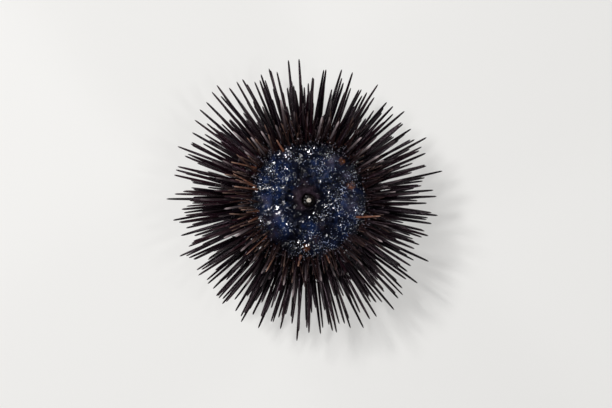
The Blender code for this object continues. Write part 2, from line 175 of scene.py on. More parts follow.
# The membrane round the mouth
MEMBRANE_RADIUS = 0.0151
MEMBRANE_RIM = 0.0009
MEMBRANE_RISE = 0.0013
MEMBRANE_FLAT_RIM = 0.0035
MEMBRANE_STEPS = 720
MEMBRANE_RINGS = 112
MEMBRANE_INNER = 0.0034
MEMBRANE_TUCK = 0.0004
MEMBRANE_TUCK_FROM = 0.0043
MEMBRANE_SKIRT = 0.0164
MEMBRANE_UNDERSIDE = MEMBRANE_SKIRT - 2 * MM
MEMBRANE_SUNK = TOUCHING_GAP * 3
EDGE_WANDER = 0.0011
EDGE_WANDER_FROM = 0.0130
EDGE_WANDER_SIZES = (0.004, 0.0012)
FOLD_HEIGHT = 0.0003
RELIEF_FLOOR = 0.1
LUMP_COUNT = 46
LUMP_INNER = 0.0042
LUMP_TURN = 0.3
LUMP_HEIGHT = (0.00025, 0.0006)
LUMP_WIDTH = (0.0008, 0.0014)
PEBBLE_SPREAD = 0.62
SLOPE_STEP = 0.0001

# The membrane's skirt, from its foot up: millimetres out and rims up
SKIRT_OUTLINE = ((-0.3, -1.3), (0.0, -1.0), (0.05, -0.5), (-0.1, 0.1), (-0.4, 0.6), (-0.8, 0.85))

# Relief by size and depth
WRINKLES = ((0.0030, 0.00040), (0.0017, 0.00030), (0.0006, 0.00010), (0.00034, 0.000032))
PEBBLES = ((0.0010, 0.000015), (0.0005, 0.000006))

# Where the membrane's blue and its sheen end, torn by noise of two sizes and depths
CLOUD_EDGE = 0.0175
CLOUD_FADE = 0.0024
SHEEN_EDGE = 0.0198
SHEEN_FADE = 0.0025
DULL_SHEEN = 0.02
TEARS = ((0.0052, 0.0046), (0.0018, 0.0026))
TEARS_LAYER = 12.0

# Noise in the membrane's patches: strength, size and layer
CLOUD_NOISE = (0.9, 0.0022, 4.0)
MILK_NOISE = (1.1, 0.0014, 8.0)
RUST_NOISE = (1.0, 0.0008, 6.0)
BROWN_NOISE = (1.0, 0.0012, 11.0)
GLITTER_NOISE = (0.7, 0.0016, 9.0)

# How strong the patches are without that noise, and what the dark ones take away
CLOUD_STRENGTH = 0.85
MILK_STRENGTH = 0.75
RUST_STRENGTH = 1.0
RUST_LOSS = 0.35
BROWN_STRENGTH = 0.8
GLITTER_ALL_OVER = 0.12
GLITTER_STRENGTH = 0.95
DARK_UNBLUE = 0.85
DARK_DULLS = 0.92

# Patches of the membrane as in the photo: millimetres from the mouth across and up, and size
# The blue clouds: the membrane's own blue with painted sky reflection in it
CLOUDS = (
    (-9.5, 7.0, 5.0), (-11.0, 0.0, 3.6), (4.0, 9.0, 4.0), (11.0, -1.5, 4.5),
    (0.3, -8.2, 2.6), (5.2, -14.0, 2.8), (-7.9, -6.6, 2.9), (11.8, -8.1, 2.8),
)
MILK = (
    (12.4, -1.8, 2.3), (-12.3, 0.2, 1.3), (-5.8, 13.2, 1.4), (6.6, 11.0, 1.6),
    (-8.9, -4.2, 1.4), (11.2, 7.4, 1.3),
)
DARK = (
    (-1.6, 7.8, 2.6), (-10.8, 4.4, 1.1), (-7.0, -13.0, 1.8), (4.4, -9.0, 1.4), (12.7, -11.0, 1.3),
    (-3.4, -9.6, 1.3), (8.4, 5.4, 1.1), (-6.2, 1.2, 1.0), (-14.8, 9.7, 2.0), (12.2, 11.8, 1.8),
    (-9.7, -14.1, 1.9), (14.8, -11.2, 1.8), (2.0, 16.6, 1.3), (-15.4, -8.6, 1.4),
)
BROWN = ((-11.6, -5.8, 1.8), (1.7, -11.0, 1.5), (-10.2, -9.6, 1.6), (3.4, -6.8, 1.1), (-1.4, 4.8, 1.2))
GLITTER = (
    (-11.3, 8.2, 1.6), (-10.3, 3.6, 1.3), (-9.0, -1.9, 1.1), (0.5, 14.4, 1.2), (6.0, 13.8, 1.6),
    (3.6, 9.2, 2.1), (4.6, -2.6, 2.2), (2.4, -4.6, 1.8), (14.6, -2.4, 1.9), (11.0, -7.4, 2.3),
    (-3.0, -13.2, 2.0), (4.5, -13.6, 2.5), (-13.4, -6.6, 1.8), (-14.0, 5.2, 1.3), (9.6, 3.0, 2.4),
    (-5.2, 12.6, 1.7), (12.4, 8.0, 1.8), (7.6, -1.8, 1.8), (-5.4, -7.4, 1.5), (0.6, -9.6, 1.6),
    (16.8, 1.0, 1.6), (15.4, 6.4, 1.5), (15.6, -8.0, 1.7), (-16.2, -1.5, 1.5), (8.6, -15.0, 1.6),
    (-16.9, 8.6, 1.2), (-14.2, -10.8, 1.2), (-11.5, 11.2, 1.4), (-6.3, -16.2, 1.2), (17.4, -2.6, 1.3),
    (-7.6, 7.4, 1.4),
)
RUST = ((12.0, 4.1, 1.5), (-0.6, -13.4, 1.2), (5.4, -14.6, 1.3), (9.4, 11.2, 1.1))

# Small forms on the membrane and the skin
FORM_SEED = 41
FORM_SIDES = 6
GRANULE_RING = (0.0046, 0.0153)
DARK_SPARES = 0.85
GRANULES = 1400
GRANULE_WIDTH = (0.00007, 0.00019)
GRANULE_HEIGHT = (0.00014, 0.00034)
GRANULE_TINT = (0.0, 1.0)
GRANULES_EVERYWHERE = 0.35
# Granules in the blue clouds are bluer, partly painted sky reflection as in the clouds
CLOUDED_TINT = (0.15, 0.85)
# Pale beads that paint the glints of light on the wet membrane
GLINTS = 800
GLINT_WIDTH = (0.00004, 0.00011)
GLINT_TINT = (0.2, 1.6)
GLINTS_EVERYWHERE = 0.10
SKIN_GRANULES = 700
SKIN_GRANULE_START = 0.0163
SKIN_GRANULE_REACH = math.radians(62)
SKIN_GRANULE_CROWDING = 1.4
SKIN_GRANULE_WIDTH = (0.00012, 0.00030)
SKIN_GRANULE_RISE = (0.8, 1.6)
GILL_RING = 0.0143
GILL_TURN = math.radians(19)
GILL_FINGERS = 52
GILL_SPREAD_OUT = 0.0013
GILL_SPREAD_SIDE = 0.0017
GILL_FINGER_LENGTH = (0.0009, 0.0020)
GILL_FINGER_RADIUS = (0.00010, 0.00017)
GILL_CUSHION = (1.1, -0.5)
GILL_LEAN = (math.radians(20), math.radians(45))
GILL_FAN = 0.8
GILL_SHORTENING = (1.1, -0.35)
BUCCAL_FOOT_RING = 0.0072
BUCCAL_FOOT_TURN = math.radians(9)
BUCCAL_FOOT_RADIUS = 0.00036
BUCCAL_FOOT_HEIGHT = 0.0020
BUCCAL_FOOT_SIDES = 14
BUCCAL_FOOT_LEAN = (math.radians(5), math.radians(35))
BUCCAL_FOOT_SWING = 1
BUCCAL_LENGTH_VARIES = (0.7, 1.05)
BUCCAL_RADIUS_VARIES = (0.9, 1.1)
TUBE_FOOT_TURN = math.radians(8)
TUBE_FOOT_PITCH = 0.0021
TUBE_FOOT_LENGTH = (0.0030, 0.0075)
TUBE_FOOT_RADIUS = (0.00013, 0.00019)
TUBE_FOOT_BEND = 0.35
TUBE_FOOT_SHIFT = 0.02
TUBE_FOOT_SWAY = 0.3
TUBE_FOOT_CLEARANCE = 1 * MM
NIPPERS = 620
NIPPER_CROWDING = 2.6
NIPPER_LENGTH = (0.0012, 0.0034)
NIPPER_RADIUS = 0.00005
NIPPER_LEAN = 0.5
NIPPER_SWAY = 0.4
NIPPER_HEAD = 0.76
NIPPER_JAW_HALF = 0.3
NIPPER_NOTCH = 0.55

# Lip, jaws and teeth, and the plates at the lower pole
LIP_MIDDLE = 0.0025
LIP_OUT = 0.0026
LIP_IN = 0.0006
LIP_TOP = 0.0027
LIP_INNER_BASE = 0.0010
LIP_OUTER_BASE = 0.0021
LIP_STEPS = 260
LIP_ARCH_STEPS = 18
LIP_PLEATS = 30
LIP_PLEAT_DEPTH = 0.00002
LIP_PLEAT_NOISE = (0.8, 0.0012)
LIP_PLEAT_FADE = (1.9, 0.0024)
LIP_PLEAT_FAINTEST = 0.25
LIP_SWELL = (0.0003, 0.0018, 3.0)
LIP_FINE_SWELL = (0.00006, 0.0005, 5.0)
LIP_WANDER = (0.00022, 0.0016, 7.0)
LIP_ROUGHNESS = 0.8
LIP_SUNK = 0.00012
SMOOTH_CENTRE = (-0.0011, 0.0012)
SMOOTH_RADIUS = 0.0033
SMOOTH_FADE = 0.0010
SMOOTH_TEARS = ((0.0016, 0.0014), (0.0005, 0.0007))
SMOOTH_LAYER = 2.0
JAW_RADIUS = 0.00195
JAW_FOLD = 0.0003
JAW_NOISE = (0.00008, 0.0005)
JAW_STEPS = 60
TOOTH_TOP = 0.0035
TOOTH_RING = 0.00042
TOOTH_LEAN = 0.00010
TOOTH_SIZE = (0.00046, 0.00074, 0.0022)
TOOTH_CUTS = 3
TOOTH_OUTER = 0.3
TOOTH_KEEL_HALF = 0.1
TOOTH_KEEL = 0.28
APICAL_STEPS = 60
GENITAL_RING = 0.0021
PLATE_TILT = 0.2
PLATE_THICKNESS = 0.0004

# How a tooth of unit size narrows upwards: between which heights, how much and towards which point
TOOTH_NARROWS = (
    (0.99, 1.01, (0.34, 0.60, 1), (-0.35, 0, 1)),
    (0.6, 0.9, (0.72, 0.85, 1), (-0.25, 0, 0.75)),
)

# Outlines of the jaw flesh and the lower pole's base: radius and height in millimetres
JAW_OUTLINE = ((1.98, 0.2), (1.98, 0.7), (1.85, 1.1), (1.5, 1.4), (1.05, 1.55), (0.6, 1.5), (0.2, 1.4))
APICAL_BASE_OUTLINE = ((3.55, 0.3), (3.6, 0.0), (3.55, -0.4), (3.2, -0.7), (2.4, -0.85), (1.0, -0.95))

# A form's share of the baked map, and how much of the map is used
PATCH = 0.003
PATCH_ROOM = 0.98

# Tones of flesh, shell and tooth: how fine the mottle is, then dark, light and fleck
TONES = {
    # The blue is partly the membrane's own colour and partly painted sky reflection
    "blue": (520.0, (0.0006, 0.0022, 0.010), (0.005, 0.016, 0.066), (0.022, 0.046, 0.130)),
    "dark": (800.0, (0.0004, 0.0003, 0.0010), (0.0012, 0.0010, 0.0027), (0.005, 0.0045, 0.009)),
    "brown": (900.0, (0.007, 0.0042, 0.0066), (0.019, 0.012, 0.018), (0.032, 0.023, 0.033)),
    "foot_flesh": (1400.0, (0.005, 0.003, 0.005), (0.020, 0.010, 0.012), (0.034, 0.024, 0.027)),
    # Nipper flesh, also worn by the skin granules; their pale ends are painted glints
    "nipper_flesh_and_painted_glint": (1400.0, (0.006, 0.004, 0.006), (0.022, 0.014, 0.018), (0.050, 0.042, 0.052)),
    "granule_flesh": (1600.0, (0.001, 0.001, 0.002), (0.008, 0.015, 0.045), (0.016, 0.020, 0.036)),
    # Pale beads whose tones are painted glints of light
    "painted_glint_bead": (2400.0, (0.14, 0.17, 0.28), (0.38, 0.44, 0.64), (0.72, 0.76, 0.88)),
    "gill_flesh": (1500.0, (0.002, 0.002, 0.004), (0.006, 0.008, 0.016), (0.016, 0.019, 0.030)),
    "buccal_flesh": (1500.0, (0.002, 0.002, 0.004), (0.006, 0.007, 0.014), (0.014, 0.015, 0.024)),
    "dark_flesh": (1200.0, (0.0015, 0.001, 0.0012), (0.005, 0.003, 0.003), (0.012, 0.009, 0.009)),
    "enamel": (1800.0, (0.42, 0.37, 0.30), (0.74, 0.70, 0.64), (0.88, 0.86, 0.83)),
    "shell_plate": (900.0, (0.0025, 0.0014, 0.0022), (0.009, 0.0048, 0.0062), (0.026, 0.016, 0.017)),
}
MILK_TONE = (0.040, 0.036, 0.060)
RUST_TONE = (0.105, 0.036, 0.012)

# The small wet forms: the tone of their ends, and how wet they are. The pale ends of the nippers, skin
# granules and glint beads are painted glints
WET_FORMS = {
    "foot_flesh": ((0.030, 0.021, 0.024), 0.35),
    # Pale ends of the nippers and skin granules: painted glints
    "nipper_flesh_and_painted_glint": ((0.120, 0.112, 0.138), 1.0),
    "granule_flesh": ((0.012, 0.018, 0.042), 0.8),
    # The glint beads' pale ends: painted highlights
    "painted_glint_bead": ((0.56, 0.62, 0.78), 1.0),
    "gill_flesh": ((0.011, 0.013, 0.023), 1.0),
    "buccal_flesh": ((0.008, 0.009, 0.017), 0.15),
}

# Tones of the horns: plain, tinted, root and tip. The tip tone paints sheen and glints towards the end
HORNS = {
    "black_horn": (
        (0.0012, 0.0006, 0.0016), (0.020, 0.0052, 0.0085), (0.007, 0.0035, 0.0055), (0.30, 0.245, 0.25),
    ),
    "tan_horn": (
        (0.0030, 0.0016, 0.0026), (0.165, 0.062, 0.034), (0.042, 0.020, 0.015), (0.46, 0.29, 0.22),
    ),
}
HORN_GLOSS_TINT = (1.0, 0.76, 0.90)
BLOTCH_SCALE = 600.0
RIDGES = 16.0
RIDGE_DEPTH = 0.00003
RIDGE_STRENGTH = 0.7

# Spans of a value, and what each is stretched to
BLOTCH_TO_TINT = (0.30, 0.60, 0.4, 1.0)
BLOTCH_TO_ROUGHNESS = (0.3, 0.7, 0.15, 0.28)
ALONG_TO_ROOT = (0.16, 0.02, 0.0, 0.8)
# Where along a spine the painted sheen of its outer half and the painted glint at its end lie
ALONG_TO_PAINTED_SHEEN = (0.50, 0.98, 0.0, 0.35)
ALONG_TO_PAINTED_GLINT = (0.87, 0.95, 0.0, 0.65)
# Towards a small form's end: its paler flesh, and on the nippers, skin granules and glint beads a painted
# glint
ALONG_TO_PALE_END_AND_PAINTED_GLINT = (0.55, 1.0, 0.0, 0.8)
MEMBRANE_ROUGHNESS = (0.8, 1.2, 0.40, 0.60)
FLESH_ROUGHNESS = (0.8, 1.2, 0.35, 0.55)
PLAIN_ROUGHNESS = (0.8, 1.2, 0.35, 0.60)
MOTTLE_PATCHES = (0.42, 0.66)
MOTTLE_FLECKS = (0.58, 0.74)

# How much finer the second noise of a pattern is than its first
FLECKS_FINER = 4.3
GRIT_FINER = 2.1
FLESH_GRAIN_FINER = 3
PLAIN_GRAIN_FINER = 3.5

# Relief of the surfaces
MEMBRANE_GRAIN_SCALE = 2600.0
MEMBRANE_GRAIN = 0.000012
FLESH_GRAIN = 0.00005
FLESH_GRAIN_STRENGTH = 0.7
JAW_GRAIN = 0.00004
ENAMEL_GRAIN = 0.00002
SHELL_GRAIN = 0.00006
PLAIN_GRAIN_STRENGTH = 0.8

# The photo's view in its pixels: its middle, the middle of its spines, and how wide the spines are shown
PHOTO_WIDTH = 612
PHOTO_CENTRE = (306, 204)
SPINES_CENTRE = (306.5, 200.5)
SPINES_WIDTH = 279
FLOOR_GLOW = 0.42
BACKDROP_GLOW = 0.56
SURROUND_GLOW = 0.03
FLOOR_SIZE = 3.0
FLOOR_TONE = (0.33, 0.327, 0.32)
FLOOR_GLOW_TONE = (1.0, 0.99, 0.97)
SURROUND_TONE = (0.97, 0.98, 1.0)
CAMERA_DISTANCE = 0.42
SENSOR_WIDTH = 36.0
NEAREST_SEEN = 0.01
FARTHEST_SEEN = 10.0
VIEW_TILT = math.radians(4.5)

# The lights above: name, place, size and power. The low ones all round: azimuth in degrees and strength
STUDIO_LIGHTS = (
    ("key_light", (-0.34, 0.22, 0.62), 0.09, 5.5),
    ("side_light", (0.30, -0.06, 0.64), 0.05, 0.75),
)
LOW_LIGHTS = ((305, 2.2), (211, 1.1), (126, 1.3), (37, 1.1))
LOW_LIGHT_HEIGHT = math.radians(9)
LOW_LIGHT_SPREAD = math.radians(14)


class Segment(NamedTuple):
    """One wedge of the test: its name, the azimuth of its middle and half its width."""

    name: str
    middle: float
    half: float


class Spine(NamedTuple):
    """One spine: where on the skin and which way it grows, its size, and whether it stands on the floor."""

    segment: str
    root: Vector
    direction: Vector
    length: float
    radius: float
    is_foot: bool


class Growth(NamedTuple):
    """One small form in place: its points, its root, its tint and how pale its tip is, from 0 to 1. On spines
    the pale tip is painted sheen and glints.
    """

    points: np.ndarray
    root: Vector
    tint: float
    tip: float = 0.0


class PlateRing(NamedTuple):
    """A ring of like plates: how many and how many-sided, its size, its first azimuth and its depth."""

    name: str
    count: int
    sides: int
    ring: float
    plate_radius: float
    start: float
    depth: float
    has_pore: bool


BETWEEN_RAYS = FIRST_AMBULACRUM + math.pi / SYMMETRY
PLATE_RINGS = (
    PlateRing("genital_plates", SYMMETRY, 6, GENITAL_RING, 0.00126, BETWEEN_RAYS, 0.0008, True),
    PlateRing("ocular_plates", SYMMETRY, 5, 0.0030, 0.00068, FIRST_AMBULACRUM, 0.0006, False),
    PlateRing("anal_valves", 4, 4, 0.00055, 0.00052, 0.0, 0.0009, False),
)


def ring_place(radius, azimuth, height):
    """The point at that distance from the axis, at that azimuth and height."""
    return Vector((radius * math.cos(azimuth), radius * math.sin(azimuth), height))


def pointing(polar, azimuth):
    """The direction turned down from +Z by that angle, towards that azimuth."""
    return ring_place(math.sin(polar), azimuth, math.cos(polar))


def outline(angle):
    """Radius and height of the test's surface, by the angle down from its upper pole."""
    height = ORAL_HEIGHT if math.cos(angle) > 0 else ABORAL_HEIGHT
    return TEST_RADIUS * math.sin(angle), AMBITUS_Z + height * math.cos(angle)


def outline_normal(angle):
    """How far the surface's outward normal there is turned down from +Z."""
    height = ORAL_HEIGHT if math.cos(angle) > 0 else ABORAL_HEIGHT
    return math.atan2(math.sin(angle) / TEST_RADIUS, math.cos(angle) / height)


def outline_angle(radius, below=False):
    """The angle down from the upper pole at which the test has that radius."""
    angle = math.asin(radius / TEST_RADIUS)
    return math.pi - angle if below else angle


def skin_root(angle, azimuth):
    """The point on the test's surface at that angle down from its upper pole and that azimuth."""
    radius, height = outline(angle)
    return ring_place(radius, azimuth, height)


UPPER_SEAT = outline(outline_angle(PERISTOME_RADIUS))[1] + TOUCHING_GAP
LOWER_SEAT = outline(outline_angle(APICAL_RADIUS, below=True))[1] - TOUCHING_GAP


def segments():
    """The ten wedges of the test, each ambulacrum followed by the interambulacrum on its left."""
    found = []
    for number in range(SYMMETRY):
        middle = FIRST_AMBULACRUM + number * 2 * math.pi / SYMMETRY
        found.append(Segment(f"ambulacrum_{number + 1}", middle, AMBULACRUM_HALF))
        beside = middle + math.pi / SYMMETRY
        found.append(Segment(f"interambulacrum_{number + 1}", beside, INTERAMBULACRUM_HALF))
    return found


SEGMENTS = segments()
WEDGES = [segment.name for segment in SEGMENTS]


def pair_azimuths(turn):
    """Azimuths of the five pairs of organs that lie that far to either side of the ambulacra's middles."""
    found = []
    for number in range(2 * SYMMETRY):
        side = 1 if number % 2 else -1
        found.append(FIRST_AMBULACRUM + (number // 2) * 2 * math.pi / SYMMETRY + side * turn)
    return found


def row_angles():
    """Where the rows of spines lie on the outline, one row pitch apart along the surface."""
    angle = outline_angle(FIRST_ROW_RADIUS)
    last = outline_angle(LAST_ROW_RADIUS, below=True)
    found = [angle]
    walked = 0.0
    while angle < last:
        here = Vector(outline(angle))
        angle += ROW_SEARCH_STEP
        walked += (Vector(outline(angle)) - here).length
        if walked >= ROW_PITCH:
            found.append(angle)
            walked = 0.0
    return found


def spine_length(angle):
    """A full-grown spine's length: longest round the widest part, shorter towards mouth and apex."""
    oral = max(0.0, ORAL_SHORTENING_FROM - angle) / ORAL_SHORTENING_SPREAD
    aboral = max(0.0, angle - ABORAL_SHORTENING_FROM) / ABORAL_SHORTENING_SPREAD
    lost_to_mouth = ORAL_SHORTENING * oral**ORAL_SHORTENING_POWER
    lost_to_apex = ABORAL_SHORTENING * aboral**ABORAL_SHORTENING_POWER
    return SPINE_LENGTH * (1 - lost_to_mouth - lost_to_apex)


def spine_at(draw, segment, angle, azimuth, oral_lean=ORAL_LEAN):
    """One spine with its own small differences in place, lean and length."""
    angle += draw.uniform(-ROOT_SHIFT, ROOT_SHIFT) / TEST_RADIUS
    radius, height = outline(angle)
    azimuth += draw.uniform(-ROOT_SHIFT, ROOT_SHIFT) / radius
    room = segment.half - SUTURE_MARGIN / radius
    azimuth = segment.middle + max(-room, min(room, azimuth - segment.middle))
    root = ring_place(radius, azimuth, height)

    normal = outline_normal(angle)
    lean = oral_lean if angle < math.pi / 2 else ABORAL_LEAN
    polar = normal + lean * (math.pi / 2 - normal) + draw.uniform(-LEAN_SWAY, LEAN_SWAY)
    turned_to = azimuth + draw.uniform(-SIDE_SWAY, SIDE_SWAY)
    direction = pointing(polar, turned_to)

    full = spine_length(angle)
    length = full * draw.uniform(*LENGTH_VARIES)
    if draw.random() < REGROWING_SHARE:
        length = full * draw.uniform(*REGROWING_LENGTH)
    reach = SPAN / 2 - REACH_ROOM
    tip = root + direction * length
    beyond = math.hypot(tip.x, tip.y) - reach
    if beyond > 0:
        length -= beyond / math.sin(polar)

    to_floor = root.z / -direction.z if direction.z < 0 else math.inf
    is_foot = to_floor < full * FOOT_STRETCH
    if is_foot:
        length = to_floor
    slenderness = SHORT_SPINE_RADIUS_SHARE + (1 - SHORT_SPINE_RADIUS_SHARE) * full / SPINE_LENGTH
    radius = SPINE_RADIUS * slenderness * draw.uniform(*RADIUS_VARIES)
    return Spine(segment.name, root, direction, length, radius, is_foot)


def long_spines():
    """The spines of the solids, row by row. The four furthest along X and Y end half a span out."""
    draw = random.Random(RANDOM_SEED)
    spines = []
    for row, angle in enumerate(row_angles()):
        radius, _ = outline(angle)
        for segment in SEGMENTS:
            columns = max(1, round((2 * segment.half * radius) / COLUMN_PITCH))
            pitch = 2 * segment.half / columns
            shift = STAGGER * pitch * (1 if row % 2 else -1)
            for column in range(columns):
                azimuth = segment.middle - segment.half + (column + 0.5) * pitch + shift
                spines.append(spine_at(draw, segment, angle, azimuth))
    for axis in (Vector((1, 0, 0)), Vector((-1, 0, 0)), Vector((0, 1, 0)), Vector((0, -1, 0))):
        furthest = max(spines, key=lambda s: (s.root + s.direction * s.length).dot(axis))
        length = (SPAN / 2 - furthest.root.dot(axis)) / furthest.direction.dot(axis)
        spines[spines.index(furthest)] = furthest._replace(length=length)
    return spines


def filler_spines():
    """Shorter, thinner spines halfway between the rows of the long ones. None reaches the floor."""
    draw = random.Random(FILLER_SEED)
    angles = row_angles()
    found = []
    for above, below in zip(angles, angles[1:]):
        angle = (above + below) / 2
        radius, _ = outline(angle)
        count = round(2 * math.pi * radius / FILLER_PITCH)
        start = draw.uniform(0, 2 * math.pi)
        for number in range(count):
            azimuth = start + number * 2 * math.pi / count
            skin = Segment("skin", azimuth, math.pi)
            spine = spine_at(draw, skin, angle, azimuth, FILLER_ORAL_LEAN)
            own_length = spine_length(angle) * draw.uniform(*FILLER_LENGTH)
            length = min(own_length, spine.length * FILLER_LONGEST)
            radius_share = FILLER_RADIUS_SHARE * draw.uniform(*RADIUS_VARIES)
            found.append(spine._replace(length=length, radius=spine.radius * radius_share, is_foot=False))
    return found


def farther(azimuth):
    """How much longer the spines are on that side of the animal than the rest."""
    extra = 0.0
    for middle, spread, most in FARTHER:
        apart = (math.degrees(azimuth) - middle + 180) % 360 - 180
        extra += most * math.exp(-((apart / spread) ** 2))
    return extra


def reaching(spines):
    """The spines with those in their tallest rows longer on the sides where the photo's reach farther."""
    found = []
    for spine in spines:
        past_start = max(0.0, spine.length / SPINE_LENGTH - FARTHER_FROM_SHARE)
        share = past_start / FARTHER_OVER_SHARE
        extra = farther(math.atan2(spine.direction.y, spine.direction.x)) * min(1.0, share)
        tip = spine.root + spine.direction * (spine.length + extra)
        beyond = max(abs(tip.x), abs(tip.y)) - SPAN / 2 - FARTHER_ROOM
        extra -= max(0.0, beyond)
        if extra > 0 and not spine.is_foot:
            spine = spine._replace(length=spine.length + extra)
        found.append(spine)
    return found


def tan_spines():
    """The few tan spines that stand out in the photo, each given by its root's azimuth and distance."""
    found = []
    for azimuth, radius, turn, length in TAN_SPINES:
        root = ring_place(radius * MM, math.radians(azimuth), UPPER_SEAT + MEMBRANE_RIM)
        direction = pointing(TAN_SPINE_POLAR, math.radians(azimuth + turn))
        found.append(Spine("tan", root, direction, length * MM, TAN_SPINE_RADIUS, False))
    return found


def edge_spines():
    """The small spines round the membrane's edge, lying low and outwards."""
    draw = random.Random(FILLER_SEED + 1)
    found = tan_spines()
    for number in range(EDGE_SPINE_COUNT):
        shifted = number + draw.uniform(-EDGE_SPINE_JITTER, EDGE_SPINE_JITTER)
        azimuth = shifted * 2 * math.pi / EDGE_SPINE_COUNT
        around = ring_place(1.0, azimuth, 0.0)
        radius = draw.uniform(*EDGE_SPINE_RING) + EDGE_SPINE_WAVER * noise.noise(around * EDGE_SPINE_BAYS)
        root = ring_place(radius, azimuth, UPPER_SEAT + MEMBRANE_RIM * EDGE_SPINE_RISE)
        polar = draw.uniform(*EDGE_SPINE_LEAN)
        direction = pointing(polar, azimuth + draw.uniform(-EDGE_SPINE_TURN, EDGE_SPINE_TURN))
        length = draw.uniform(*EDGE_SPINE_LENGTH)
        found.append(Spine("skin", root, direction, length, draw.uniform(*EDGE_SPINE_RADIUS), False))
    return found


def deselect():
    """Leaves nothing selected."""
    bpy.ops.object.select_all(action="DESELECT")


def choose(piece):
    """Selects the piece alone and makes it the active one."""
    deselect()
    bpy.context.view_layer.objects.active = piece
    piece.select_set(True)


def edit(piece):
    """Opens the piece alone in edit mode, with everything in it selected."""
    choose(piece)
    bpy.ops.object.mode_set(mode="EDIT")
    bpy.ops.mesh.select_mode(type="VERT")
    bpy.ops.mesh.select_all(action="SELECT")


def leave_edit():
    """Back to object mode."""
    bpy.ops.object.mode_set(mode="OBJECT")


def pick(piece, wanted):
    """In edit mode, selects just the points whose place passes the test."""
    bpy.ops.mesh.select_all(action="DESELECT")
    bm = bmesh.from_edit_mesh(piece.data)
    for vert in bm.verts:
        vert.select = wanted(vert.co)
    bm.select_flush_mode()
    bmesh.update_edit_mesh(piece.data)


def named(piece, name):
    """Gives the object and its mesh that name."""
    piece.name = name
    piece.data.name = name
    return piece


def apply_place(piece):
    """Puts the object's place, turn and scale into its mesh."""
    choose(piece)
    bpy.ops.object.transform_apply(location=True, rotation=True, scale=True)


def apply_modifier(piece, kind, **settings):
    """Adds a modifier with its settings and applies it."""
    modifier = piece.modifiers.new(kind.title(), kind)
    for name, value in settings.items():
        setattr(modifier, name, value)
    choose(piece)
    bpy.ops.object.modifier_apply(modifier=modifier.name)


def close_shell(piece):
    """Merges doubles, turns the faces outwards and shades the piece smooth."""
    edit(piece)
    bpy.ops.mesh.remove_doubles(threshold=DOUBLES_WITHIN)
    bpy.ops.mesh.normals_make_consistent(inside=False)
    leave_edit()
    bpy.ops.object.shade_smooth()


def turned(name, profile, steps, solid=True):
    """A round piece grown ring by ring along its (radius, height) profile, closed at its ends if solid."""
    radius, height = profile[0]
    deselect()
    fill = "NGON" if solid else "NOTHING"
    bpy.ops.mesh.primitive_circle_add(vertices=steps, radius=radius, fill_type=fill, location=(0, 0, height))
    piece = named(bpy.context.object, name)
    apply_place(piece)
    edit(piece)
    for next_radius, next_height in profile[1:]:
        bpy.ops.mesh.extrude_region_move(TRANSFORM_OT_translate={"value": (0, 0, next_height - height)})
        share = next_radius / radius
        bpy.ops.transform.resize(value=(share, share, 1), center_override=(0, 0, next_height))
        radius, height = next_radius, next_height
    leave_edit()
    close_shell(piece)
    return piece


def points_of(piece):
    """The piece's points as an array."""
    points = np.empty(len(piece.data.vertices) * 3, np.float32)
    piece.data.vertices.foreach_get("co", points)
    return points.reshape(-1, 3).astype(float)


def set_points(piece, points):
    """Moves the piece's points there."""
    piece.data.vertices.foreach_set("co", np.asarray(points, np.float32).ravel())
    piece.data.update()


def round_axis(points):
    """Each point's distance from the axis and its azimuth."""
    return np.hypot(points[:, 0], points[:, 1]), np.arctan2(points[:, 1], points[:, 0])


def unit(rows):
    """The same directions, each of length 1."""
    return rows / np.linalg.norm(rows, axis=1)[:, None]


def spun(points, turn):
    """The points turned round the upright axis."""
    cosine, sine = math.cos(turn), math.sin(turn)
    return points @ np.array([[cosine, sine, 0], [-sine, cosine, 0], [0, 0, 1]])


def set_attribute(piece, name, values):
    """Stores one number for each point."""
    stored = piece.data.attributes.new(name, "FLOAT", "POINT")
    stored.data.foreach_set("value", np.asarray(values, np.float32))


def remove(piece):
    """Deletes a modelled form whose copies are in place."""
    mesh = piece.data
    bpy.data.objects.remove(piece)
    bpy.data.meshes.remove(mesh)


def skin_place(root):
    """Where a point lies on the skin's unwrap: round the animal, and along the outline from mouth to apex."""
    around = math.atan2(root.y, root.x) / (2 * math.pi) % 1.0
    height = ORAL_HEIGHT if root.z > AMBITUS_Z else ABORAL_HEIGHT
    across = math.hypot(root.x, root.y) / TEST_RADIUS
    down = math.atan2(across, (root.z - AMBITUS_Z) / height) / math.pi
    room = (1 - PATCH_ROOM) / 2
    return room + PATCH_ROOM * around, room + PATCH_ROOM * down


def membrane_place(root):
    """Where a point lies on the membrane's unwrap, laid flat round the mouth."""
    return 0.5 + PATCH_ROOM * root.x / (2 * TEST_RADIUS), 0.5 + PATCH_ROOM * root.y / (2 * TEST_RADIUS)


